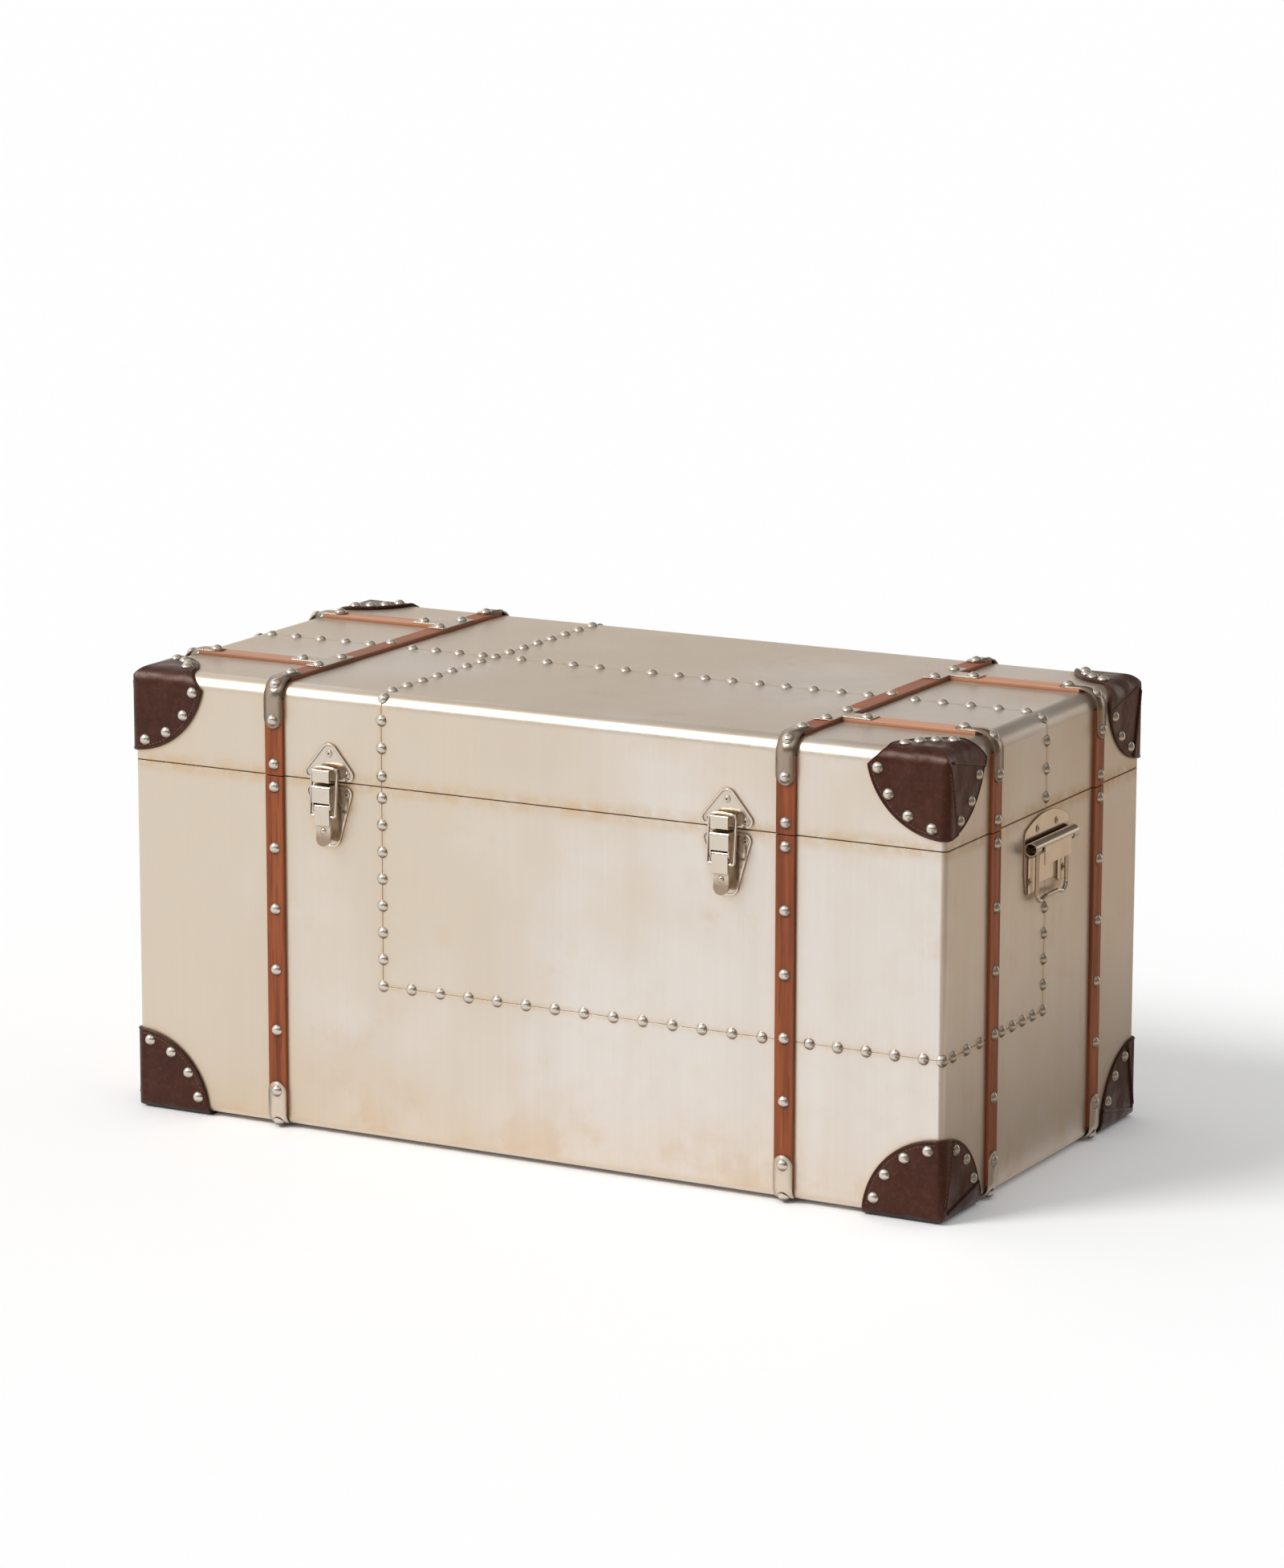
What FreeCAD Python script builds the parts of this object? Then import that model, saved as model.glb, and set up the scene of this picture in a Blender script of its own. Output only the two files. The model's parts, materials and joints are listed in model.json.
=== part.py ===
import FreeCAD
import Part
import math
import os

Vector = FreeCAD.Vector
X_AXIS = Vector(1, 0, 0)
Y_AXIS = Vector(0, 1, 0)
Z_AXIS = Vector(0, 0, 1)
CENTRE = Vector(0, 0, 0)

# Whole trunk, measured over the metal covering
trunk_length = 900.0
trunk_depth = 450.0
trunk_height = 450.0
lid_height = 92.5
seam_gap = 1.0
foot_height = 4.0

# Boards of the carcass
board_thickness = 12.0
floor_thickness = 10.0
upright_edge_radius = 6.0
lid_edge_radius = 16.0
bottom_edge_radius = 8.0

# Metal covering
sheet_thickness = 0.8
sheet_gap = 0.3
bottom_flange = 30.0
upright_seam_share = 0.359
level_seam_height = 156.0

# Cloth lining
lining_thickness = 1.2
lining_margin = 3.0

# Wooden slats
slat_width = 20.5
slat_thickness = 3.8
slat_edge_radius = 1.2
face_slat_share = 0.631
end_slat_gap = 11.75

# Metal clips over the slat ends
clip_width = 20.4
clip_edge = 1.0
clip_crown = 0.85
clip_flat_share = 0.4
clip_round = 12.0
lid_clip_drop = 45.0
lid_clip_reach = 40.0
lid_clip_nail_drop = 37.0
lid_clip_nail_reach = 31.5
bottom_clip_rise = 44.0
bottom_clip_reach = 34.0
bottom_clip_nail_rise = 34.5
tee_clip_thickness = 1.2
tee_clip_half_bar = 31.0
tee_clip_stem = 41.0
tee_clip_corner = 1.5
tee_nail_side = 22.5
tee_nail_stem = 32.0

# Domed nails
nail_radius = 6.0
nail_height = 3.8
column_nail_pitch = 27.0
row_nail_pitch = 32.0
lid_nail_pitch = 29.5
seam_nail_margin = 10.5
slat_nail_margin = 11.0
nail_clearance = 15.0
body_slat_nail_count = 6

# Leather corners
leather_thickness = 3.0
corner_reach = 83.0
lid_corner_top_reach = 66.0
corner_nail_ring = 73.0
lid_corner_nail_ring = 55.0
dart_depth = 1.2
dart_corner = 2.0
dart_shares = ((0.05, 0.12), (0.27, 1.07), (1.06, 1.06), (1.05, 0.32))
face_nail_angles = (15.0, 36.0, 58.0, 79.0)
end_nail_angles = (25.0, 47.0, 69.0)
top_nail_angles = (19.0, 37.0, 54.0, 71.0)

# Tubular rivets of the hardware
rivet_radius = 3.6
rivet_flange = 0.5
rivet_ring_radius = 2.3
rivet_hole_radius = 1.2
rivet_height = 1.0

# Draw latches: plates
latch_share = 0.491
latch_plate = 1.2
latch_rim_height = 0.9
latch_rim_width = 2.0
keeper_half_base = 35.0
keeper_height = 42.5
keeper_gap = 1.0
keeper_base_corner = 6.5
keeper_apex_corner = 10.0
keeper_rivet_side = 20.0
keeper_rivet_low = 6.5
keeper_rivet_high = 26.5
shield_half_width = 28.5
shield_height = 62.0
shield_gap = 3.5
shield_top_corner = 7.0
shield_waist_corner = 24.0
shield_foot_corner = 9.5
shield_waist_shares = (0.72, 0.42)
shield_foot_share = 0.36
shield_rivet_side = 19.8
shield_rivet_high = 7.5
shield_rivet_low = 54.0

# Draw latches: keeper block, hood, lever and bail
keeper_block_width = 19.0
keeper_block_reach = 18.0
keeper_block_height = 11.5
keeper_block_corner = 1.5
keeper_lip_height = 1.3
keeper_lip_thickness = 1.6
hood_inner_width = 18.0
hood_wall = 1.2
hood_reach = 18.2
hood_height = 17.6
hood_corner = 3.0
hood_gap = 1.0
lever_pin_radius = 1.6
lever_pin_out = 13.5
lever_pin_drop = 23.0
lever_side_gap = 0.3
lever_knuckle = 3.2
lever_length = 39.6
lever_tab = 18.5
lever_flare = 1.8
lever_edge = 0.6
spoon_step = 3.2
spoon_thickness = 2.4
spoon_share = 0.94
spoon_bump_radius = 3.6
spoon_bump_height = 1.6
spoon_bump_drop = 6.0
ear_radius = 3.5
bail_wire_radius = 1.5
bail_half_width = 14.4
bail_stub = 10.5
bail_bend = 3.0
bail_corner = 5.5
bail_arch = 1.6
bail_arch_radius = 36.0
bail_pin_out = 14.4
bail_pin_drop = 32.0
bail_bar_out = 10.0
bail_seat_gap = 0.3

# End handles
handle_plate = 1.5
handle_half_width = 51.0
handle_shoulder = 12.5
handle_top_gap = 1.7
handle_height = 75.0
handle_arch_rise = 20.5
handle_arch_radius = 105.0
handle_shoulder_corner = 7.0
handle_foot_width = 17.0
handle_foot_taper = 4.0
handle_foot_rise = 22.0
handle_foot_corner = 4.0
handle_foot_arch = 6.5
handle_foot_slope = 9.0
handle_rivet_side = 22.0
handle_rivet_high = 13.5
handle_foot_rivet_side = 39.0
handle_foot_rivet_rise = 12.0
handle_tube_radius = 6.8
handle_tube_wall = 1.2
handle_tube_out = 7.3
handle_tube_drop = 30.5
handle_tube_half = 50.0
handle_flap_drop = 18.0
handle_notch_clearance = 1.5
handle_wire_radius = 2.2
handle_leg_offset = 34.5
handle_stub = 15.0
handle_stub_bend = 4.0
handle_drop = 54.5
handle_corner = 9.0
handle_grip_rise = 5.5
handle_grip_half = 15.0
handle_grip_bend = 22.0
handle_seat_gap = 0.3

# Hinges on the back
hinge_share = 0.478
hinge_width = 64.0
hinge_leaf_height = 44.0
hinge_leaf = 2.0
hinge_leaf_corner = 6.0
hinge_barrel_radius = 5.0
hinge_axis_out = 6.8
hinge_pin_radius = 2.5
hinge_knuckle_gap = 0.4
hinge_neck = 10.0
hinge_rivet_side = 22.0
hinge_rivet_high = 33.0
hinge_rivet_low = 16.0

# Lid stay on the right wall
stay_radius = 120.0
stay_lid_angle = 12.0
stay_body_angle = 8.0
lid_opening = 100.0
stay_thickness = 2.0
stay_width = 16.0
stay_wall_gap = 2.0
stay_side_gap = 0.2
stay_pin_radius = 3.0
stay_slot_gap = 0.2
stay_boss_radius = 6.0
stay_head_height = 1.5

# Fits and cuts
running_gap = 0.05
overrun = 5.0
same_place = 1e-6

# Places that follow from the sizes
half_length = trunk_length / 2
half_depth = trunk_depth / 2
upright_seam_offset = upright_seam_share * half_length
face_slat_offset = face_slat_share * half_length
latch_offset = latch_share * half_length
hinge_offset = hinge_share * half_length
end_slat_offset = half_depth - corner_reach - end_slat_gap - slat_width / 2
body_bottom = foot_height
lid_top = foot_height + trunk_height
lid_bottom = lid_top - lid_height
body_top = lid_bottom - seam_gap
seam_level = (lid_bottom + body_top) / 2
lid_board_thickness = lid_edge_radius
inner_x = half_length - sheet_thickness - board_thickness
inner_y = half_depth - sheet_thickness - board_thickness
floor_top = body_bottom + sheet_thickness + floor_thickness
lid_ceiling = lid_top - sheet_thickness - lid_board_thickness
level_seam = body_bottom + level_seam_height
clip_thickness = clip_edge + clip_crown
lining_x = inner_x - lining_thickness
lining_y = inner_y - lining_thickness


def block(x_from, x_to, y_from, y_to, z_from, z_to):
    """A plain block between six planes."""
    return Part.makeBox(x_to - x_from, y_to - y_from, z_to - z_from, Vector(x_from, y_from, z_from))


def plane(origin, across, along):
    """Turns flat places (u, v) into points of the plane through origin."""
    def lift(u, v):
        return origin + across * u + along * v
    return lift


def turned(corners):
    """Start, middle and end of the tangent arc at each (u, v, radius) corner of an outline."""
    turns = []
    count = len(corners)
    for i in range(count):
        u, v, radius = corners[i]
        here = Vector(u, v, 0)
        if radius == 0:
            turns.append((here, here, here))
            continue
        before = Vector(corners[i - 1][0], corners[i - 1][1], 0)
        after = Vector(corners[(i + 1) % count][0], corners[(i + 1) % count][1], 0)
        back = (before - here).normalize()
        onward = (after - here).normalize()
        half = back.getAngle(onward) / 2
        reach = radius / math.tan(half)
        middle = here + (back + onward).normalize() * (radius / math.sin(half) - radius)
        turns.append((here + back * reach, middle, here + onward * reach))
    return turns


def outline(corners, lift):
    """Closed wire of lines and tangent arcs through (u, v, radius) corners."""
    turns = turned(corners)
    edges = []
    for i in range(len(turns)):
        start, middle, stop = turns[i]
        onward = turns[(i + 1) % len(turns)][0]
        if (stop - start).Length > same_place:
            bend = Part.Arc(lift(start.x, start.y), lift(middle.x, middle.y), lift(stop.x, stop.y))
            edges.append(bend.toShape())
        if (onward - stop).Length > same_place:
            edges.append(Part.makeLine(lift(stop.x, stop.y), lift(onward.x, onward.y)))
    return Part.Wire(edges)


def prism(corners, lift, travel):
    """An outline drawn out along travel."""
    return Part.Face(outline(corners, lift)).extrude(travel)


def joined(pieces):
    """One solid out of pieces that touch or overlap."""
    return pieces[0].multiFuse(pieces[1:]).removeSplitter().Solids[0]


def rod(corners, lift, radius):
    """Round wire along an open line of (u, v, bend radius) corners."""
    turns = turned(corners)
    pieces = []
    for i in range(len(turns) - 1):
        start = lift(turns[i][2].x, turns[i][2].y)
        stop = lift(turns[i + 1][0].x, turns[i + 1][0].y)
        pieces.append(Part.makeCylinder(radius, (stop - start).Length, start, stop - start))
    for turn in turns[1:-1]:
        start, middle, stop = [lift(place.x, place.y) for place in turn]
        bend = Part.Arc(start, middle, stop).toShape()
        ring = bend.Curve
        heading = ring.Axis.cross(start - ring.Center)
        section = Part.Face(Part.Wire([Part.makeCircle(radius, start, heading)]))
        sweep = math.degrees(bend.LastParameter - bend.FirstParameter)
        pieces.append(section.revolve(ring.Center, ring.Axis, sweep))
    return joined(pieces)


def mirrored(shape, normal):
    """The shape on the other side of the middle plane across normal."""
    return shape.mirror(CENTRE, normal)


def shifted(shape, travel):
    """A moved copy."""
    copy = shape.copy()
    copy.translate(travel)
    return copy


def around(shape, travel, turn):
    """A copy moved on the front face and then carried round to another face of the trunk."""
    copy = shifted(shape, travel)
    copy.rotate(CENTRE, Z_AXIS, turn)
    return copy


def spread(start, stop, pitch):
    """Even places from start to stop, as near to the pitch as the length allows."""
    steps = max(1, round(abs(stop - start) / pitch))
    return [start + (stop - start) * i / steps for i in range(steps + 1)]


def save(name, solids):
    """One piece, or one set of like pieces, written under its name."""
    shape = solids[0] if len(solids) == 1 else Part.makeCompound(solids)
    shape.exportStep("parts/" + name + ".step")


def dome_ball(radius, height):
    """Radius of the ball whose cap has this foot radius and height."""
    return (radius * radius + height * height) / (2 * height)


def nail(point, normal):
    """Domed nail head that sits on point and stands towards normal."""
    ball = dome_ball(nail_radius, nail_height)
    sunk = ball - nail_height
    waist = math.degrees(math.asin(sunk / ball))
    heading = Vector(normal).normalize()
    return Part.makeSphere(ball, point - heading * sunk, heading, waist, 90, 360)


def rivet(point, normal):
    """Tubular rivet head: a flange, a raised ring and the open middle."""
    flange = Part.makeCylinder(rivet_radius, rivet_flange, point, normal)
    ring = Part.makeCylinder(rivet_ring_radius, rivet_height, point, normal)
    hole = Part.makeCylinder(rivet_hole_radius, rivet_height, point, normal)
    return flange.fuse(ring).removeSplitter().cut(hole).Solids[0]


def three_rivets(side, pair, single):
    """Places of a pair of rivets and a single one between them, measured from the seam edge."""
    return (-side, pair), (side, pair), (0, single)


def rounded_block(half_x, half_y, rounded_level, flat_level, edge_radius, upright_radius):
    """Block with rounded uprights and one rounded end, upper or lower."""
    def profile(half):
        return ((-half, flat_level, 0), (half, flat_level, 0),
                (half, rounded_level, edge_radius), (-half, rounded_level, edge_radius))
    plan = ((-half_x, -half_y, upright_radius), (half_x, -half_y, upright_radius),
            (half_x, half_y, upright_radius), (-half_x, half_y, upright_radius))
    along = prism(profile(half_x), plane(Vector(0, -half_y, 0), X_AXIS, Z_AXIS), Y_AXIS * (2 * half_y))
    across = prism(profile(half_y), plane(Vector(-half_x, 0, 0), Y_AXIS, Z_AXIS), X_AXIS * (2 * half_x))
    rise = Z_AXIS * (rounded_level - flat_level)
    tower = prism(plan, plane(Vector(0, 0, flat_level), X_AXIS, Y_AXIS), rise)
    return along.common(across).common(tower).Solids[0]


def body_form(inset):
    """Body of the trunk, drawn in by inset."""
    return rounded_block(half_length - inset, half_depth - inset, body_bottom + inset, body_top,
                         bottom_edge_radius - inset, upright_edge_radius - inset)


def lid_form(inset):
    """Lid of the trunk, drawn in by inset."""
    return rounded_block(half_length - inset, half_depth - inset, lid_top - inset, lid_bottom,
                         lid_edge_radius - inset, upright_edge_radius - inset)


# The four faces: distance from the middle, slat offset on the face, turn from the front
FACES = ((half_depth, face_slat_offset, 0), (half_length, end_slat_offset, 90),
         (half_depth, face_slat_offset, 180), (half_length, end_slat_offset, 270))
os.makedirs("parts", exist_ok=True)


# Carcass boards
body_core = body_form(sheet_thickness)
lid_core = lid_form(sheet_thickness)


def wall_boards(core, low, high):
    """Front, back, left and right board cut out of the carcass form."""
    front = core.common(block(-half_length, half_length, -half_depth, -inner_y, low, high)).Solids[0]
    side = core.common(block(inner_x, half_length, -inner_y, inner_y, low, high)).Solids[0]
    return front, mirrored(front, Y_AXIS), mirrored(side, X_AXIS), side


def lining(low, high, open_high):
    """Cloth tray glued into the carcass, open above or below."""
    tray = block(-inner_x, inner_x, -inner_y, inner_y, low, high)
    if open_high:
        hollow = block(-lining_x, lining_x, -lining_y, lining_y, low + lining_thickness, high + overrun)
    else:
        hollow = block(-lining_x, lining_x, -lining_y, lining_y, low - overrun, high - lining_thickness)
    return tray.cut(hollow).Solids[0]


for board, shape in zip(("front", "back", "left", "right"), wall_boards(body_core, body_bottom, body_top)):
    save("body_" + board + "_board", [shape])
for board, shape in zip(("front", "back", "left", "right"), wall_boards(lid_core, lid_bottom, lid_ceiling)):
    save("lid_" + board + "_board", [shape])
floor_low = body_bottom + sheet_thickness
save("body_floor_board", [block(-inner_x, inner_x, -inner_y, inner_y, floor_low, floor_top)])
lid_crown = block(-half_length, half_length, -half_depth, half_depth, lid_ceiling, lid_top)
save("lid_top_board", [lid_core.common(lid_crown).Solids[0]])
save("body_lining", [lining(floor_top, body_top - lining_margin, True)])
save("lid_lining", [lining(lid_bottom + lining_margin, lid_ceiling, False)])

# Metal covering of the body: one sheet all round, pieced at the front right
body_outside = body_form(0)
lid_outside = lid_form(0)
bottom_opening = block(-half_length + bottom_flange, half_length - bottom_flange,
                       -half_depth + bottom_flange, half_depth - bottom_flange, 0, body_top)
body_shell = body_outside.cut(body_core).cut(bottom_opening)


def patch_region(gap):
    """Space of the pieced sheet, drawn in by gap."""
    return block(-upright_seam_offset + gap, half_length + overrun, -half_depth - overrun, -gap,
                 level_seam + gap, body_top + overrun)


save("body_main_sheet", [body_shell.cut(patch_region(-sheet_gap / 2)).Solids[0]])
save("body_patch_sheet", [body_shell.common(patch_region(sheet_gap / 2)).Solids[0]])

# Metal covering of the lid: four sheets that meet along two seams
lid_shell = lid_outside.cut(lid_core)
for depth_name, y_from, y_to in (("front", -half_depth, -sheet_gap / 2),
                                 ("back", sheet_gap / 2, half_depth)):
    for side_name, x_from, x_to in (("left", -half_length, -upright_seam_offset - sheet_gap / 2),
                                    ("right", -upright_seam_offset + sheet_gap / 2, half_length)):
        quarter = block(x_from, x_to, y_from, y_to, lid_bottom, lid_top)
        save("lid_" + depth_name + "_" + side_name + "_sheet", [lid_shell.common(quarter).Solids[0]])


# Slats
def slat(origin, across, out, travel):
    """Wooden slat with eased outer edges."""
    half = slat_width / 2
    section = ((-half, 0, 0), (half, 0, 0), (half, slat_thickness, slat_edge_radius),
               (-half, slat_thickness, slat_edge_radius))
    return prism(section, plane(origin, across, out), travel)


slat_foot = body_bottom + bottom_edge_radius + slat_thickness
slat_head = lid_top - lid_edge_radius
body_slats = {0: [], 90: []}
lid_slats = {0: [], 90: []}
for distance, offset, turn in FACES:
    for side in (-offset, offset):
        low = slat(Vector(0, -distance, slat_foot), X_AXIS, -Y_AXIS, Z_AXIS * (body_top - slat_foot))
        high = slat(Vector(0, -distance, lid_bottom), X_AXIS, -Y_AXIS, Z_AXIS * (slat_head - lid_bottom))
        body_slats[turn % 180].append(around(low, X_AXIS * side, turn))
        lid_slats[turn % 180].append(around(high, X_AXIS * side, turn))
save("body_face_slats", body_slats[0])
save("body_end_slats", body_slats[90])
save("lid_face_slats", lid_slats[0])
save("lid_end_slats", lid_slats[90])
top_front = half_depth - lid_edge_radius
top_side = half_length - lid_edge_radius
cross_slats = []
short_slats = []
for side in (-1, 1):
    start = Vector(side * face_slat_offset, -top_front, lid_top)
    cross_slats.append(slat(start, X_AXIS, Z_AXIS, Y_AXIS * (2 * top_front)))
    for offset in (-end_slat_offset, end_slat_offset):
        start = Vector(side * (face_slat_offset + slat_width / 2), offset, lid_top)
        length = top_side - face_slat_offset - slat_width / 2
        short_slats.append(slat(start, Y_AXIS, Z_AXIS, X_AXIS * (side * length)))
save("lid_cross_slats", cross_slats)
save("lid_short_slats", short_slats)


# Clips over the slat ends
def strap_section(origin, out):
    """Cross section of a clip: flat beneath, sloped and rounded towards a narrower top."""
    half = clip_width / 2
    top = clip_flat_share * half
    corners = ((-half, 0, 0), (half, 0, 0), (half, clip_edge, 0), (top, clip_thickness, clip_round),
               (-top, clip_thickness, clip_round), (-half, clip_edge, 0))
    return Part.Face(outline(corners, plane(origin, X_AXIS, out)))


def strap(distance, level, up, bend_radius, rise, reach):
    """Clip on the front face that turns over the lid edge (up 1) or under the bottom edge (up -1)."""
    half = clip_width / 2
    face = -distance - slat_thickness
    centre = Vector(0, face + bend_radius, level - up * bend_radius)
    upright = strap_section(Vector(0, face, centre.z), -Y_AXIS)
    flat = strap_section(Vector(0, centre.y, level), Z_AXIS * up)
    far_level = level - up * rise
    far_depth = face + reach
    pieces = [upright.extrude(Z_AXIS * (far_level - centre.z)),
              upright.revolve(centre, X_AXIS, -90 * up),
              flat.extrude(Y_AXIS * (far_depth - centre.y))]
    near_level = level + up * (clip_thickness + overrun)
    near_depth = face - clip_thickness - overrun

    def tongue(far, near):
        return (-half, far, half), (half, far, half), (half, near, 0), (-half, near, 0)

    face_mask = prism(tongue(far_level, near_level), plane(Vector(0, near_depth, 0), X_AXIS, Z_AXIS),
                      Y_AXIS * (far_depth - near_depth + overrun))
    flat_mask = prism(tongue(far_depth, near_depth), plane(Vector(0, 0, far_level), X_AXIS, Y_AXIS),
                      Z_AXIS * (near_level - far_level))
    return joined(pieces).common(face_mask).common(flat_mask).Solids[0]


lid_bend = lid_edge_radius + slat_thickness
bottom_bend = bottom_edge_radius + slat_thickness
lid_clips = []
bottom_clips = []
body_slat_nails = []
lid_slat_nails = []
for distance, offset, turn in FACES:
    over = strap(distance, lid_top + slat_thickness, 1, lid_bend,
                 lid_clip_drop + slat_thickness, lid_clip_reach + slat_thickness)
    under = strap(distance, body_bottom, -1, bottom_bend, bottom_clip_rise, bottom_clip_reach)
    face = -distance - slat_thickness
    clip_face = face - clip_thickness
    slope = math.sqrt(2) / 2
    over_edge = (lid_bend + clip_thickness) * slope
    under_edge = (bottom_bend + clip_thickness) * slope
    over_depth = -distance + lid_edge_radius - over_edge
    flat_level = lid_top + slat_thickness + clip_thickness
    lid_nails = [nail(Vector(0, face, lid_bottom + slat_nail_margin), -Y_AXIS),
                 nail(Vector(0, clip_face, lid_top - lid_clip_nail_drop), -Y_AXIS),
                 nail(Vector(0, over_depth, slat_head + over_edge), Z_AXIS - Y_AXIS),
                 nail(Vector(0, -distance + lid_clip_nail_reach, flat_level), Z_AXIS)]
    clip_nail_level = body_bottom + bottom_clip_nail_rise
    highest = body_top - slat_nail_margin
    under_place = Vector(0, face + bottom_bend - under_edge, slat_foot - under_edge)
    body_nails = [nail(Vector(0, clip_face, clip_nail_level), -Y_AXIS), nail(under_place, -Y_AXIS - Z_AXIS)]
    for i in range(1, body_slat_nail_count):
        level = clip_nail_level + (highest - clip_nail_level) * i / (body_slat_nail_count - 1)
        body_nails.append(nail(Vector(0, face, level), -Y_AXIS))
    for side in (-offset, offset):
        lid_clips.append(around(over, X_AXIS * side, turn))
        bottom_clips.append(around(under, X_AXIS * side, turn))
        lid_slat_nails += [around(head, X_AXIS * side, turn) for head in lid_nails]
        body_slat_nails += [around(head, X_AXIS * side, turn) for head in body_nails]
save("lid_edge_clips", lid_clips)
save("body_bottom_clips", bottom_clips)
save("body_slat_nails", body_slat_nails)

# T clips where the short slats meet the cross slats
slat_top = lid_top + slat_thickness
tee_clips = []
half_clip = clip_width / 2
tee_places = ((-half_clip, -tee_clip_half_bar), (half_clip, -tee_clip_half_bar), (half_clip, -half_clip),
              (tee_clip_stem, -half_clip), (tee_clip_stem, half_clip), (half_clip, half_clip),
              (half_clip, tee_clip_half_bar), (-half_clip, tee_clip_half_bar))
tee_corners = [(u, v, tee_clip_corner) for u, v in tee_places]
for offset in (-end_slat_offset, end_slat_offset):
    seat = Vector(face_slat_offset, offset, slat_top)
    tee = prism(tee_corners, plane(seat, X_AXIS, Y_AXIS), Z_AXIS * tee_clip_thickness)
    tee_clips += [tee, mirrored(tee, X_AXIS)]
    for u, v in ((0, -tee_nail_side), (0, tee_nail_side), (tee_nail_stem, 0)):
        head = nail(seat + Vector(u, v, tee_clip_thickness), Z_AXIS)
        lid_slat_nails += [head, mirrored(head, X_AXIS)]
for side in (-face_slat_offset, face_slat_offset):
    lid_slat_nails.append(nail(Vector(side, 0, slat_top), Z_AXIS))
save("lid_tee_clips", tee_clips)
save("lid_slat_nails", lid_slat_nails)

# Nails along the sheet seams
slat_clear = slat_width / 2 + nail_clearance
edge_lean = upright_edge_radius * (1 - math.sqrt(2) / 2)
lid_lean = lid_edge_radius * (1 - math.sqrt(2) / 2)
column_top = body_top - seam_nail_margin
handle_foot = body_top - handle_top_gap - handle_height
body_seam_nails = []
for level in spread(level_seam, column_top, column_nail_pitch):
    body_seam_nails.append(nail(Vector(-upright_seam_offset, -half_depth, level), -Y_AXIS))
row_right = half_length - 2 * seam_nail_margin
row_places = spread(-upright_seam_offset, face_slat_offset - slat_clear, row_nail_pitch)[1:]
row_places += spread(face_slat_offset + slat_clear, row_right, column_nail_pitch)
for place in row_places:
    body_seam_nails.append(nail(Vector(place, -half_depth, level_seam), -Y_AXIS))
edge_place = Vector(half_length - edge_lean, -half_depth + edge_lean, level_seam)
body_seam_nails.append(nail(edge_place, X_AXIS - Y_AXIS))
end_places = spread(-half_depth + 2 * seam_nail_margin, -end_slat_offset - slat_clear, column_nail_pitch)
end_places += spread(-end_slat_offset + slat_clear, 0, column_nail_pitch)
for place in end_places:
    body_seam_nails.append(nail(Vector(half_length, place, level_seam), X_AXIS))
for level in spread(level_seam, handle_foot - 2 * seam_nail_margin, column_nail_pitch)[1:]:
    body_seam_nails.append(nail(Vector(half_length, 0, level), X_AXIS))
save("body_seam_nails", body_seam_nails)

lid_seam_nails = []
lid_levels = spread(lid_bottom + seam_nail_margin, slat_head - seam_nail_margin, column_nail_pitch)
for level in lid_levels:
    for side in (-1, 1):
        lid_seam_nails.append(nail(Vector(-upright_seam_offset, side * half_depth, level), Y_AXIS * side))
        lid_seam_nails.append(nail(Vector(side * half_length, 0, level), X_AXIS * side))
for side in (-1, 1):
    face_place = Vector(-upright_seam_offset, side * (half_depth - lid_lean), lid_top - lid_lean)
    end_place = Vector(side * (half_length - lid_lean), 0, lid_top - lid_lean)
    lid_seam_nails.append(nail(face_place, Y_AXIS * side + Z_AXIS))
    lid_seam_nails.append(nail(end_place, X_AXIS * side + Z_AXIS))
line_front = top_front - nail_radius
line_side = top_side - nail_radius
for place in spread(-line_front, line_front, lid_nail_pitch):
    lid_seam_nails.append(nail(Vector(-upright_seam_offset, place, lid_top), Z_AXIS))
line_places = spread(-line_side, -face_slat_offset - slat_clear, lid_nail_pitch)
line_places += spread(-face_slat_offset + slat_clear, -upright_seam_offset - nail_clearance, lid_nail_pitch)
middle_start = -upright_seam_offset + 2 * nail_clearance
line_places += spread(middle_start, face_slat_offset - slat_clear, lid_nail_pitch)
line_places += spread(face_slat_offset + slat_clear, line_side, lid_nail_pitch)
for place in line_places:
    lid_seam_nails.append(nail(Vector(place, 0, lid_top), Z_AXIS))
save("lid_seam_nails", lid_seam_nails)

# Leather corners
leather_x = half_length + leather_thickness
leather_y = half_depth + leather_thickness
leather_top = lid_top + leather_thickness
leather_upright = upright_edge_radius + leather_thickness
body_corner_form = rounded_block(leather_x, leather_y, 0, body_top,
                                 bottom_edge_radius + leather_thickness, leather_upright)
lid_corner_form = rounded_block(leather_x, leather_y, leather_top, lid_bottom,
                                lid_edge_radius + leather_thickness, leather_upright)


def dart(level, up):
    """Sunk gusset in the end face of a leather corner, open to its rim, between the front fold and the cap fold."""
    corners = [(along * corner_reach, away * corner_reach, dart_corner) for along, away in dart_shares]
    floor = Vector(leather_x - dart_depth, -half_depth, level)
    return prism(corners, plane(floor, Y_AXIS, Z_AXIS * up), X_AXIS * (dart_depth + overrun))


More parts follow.
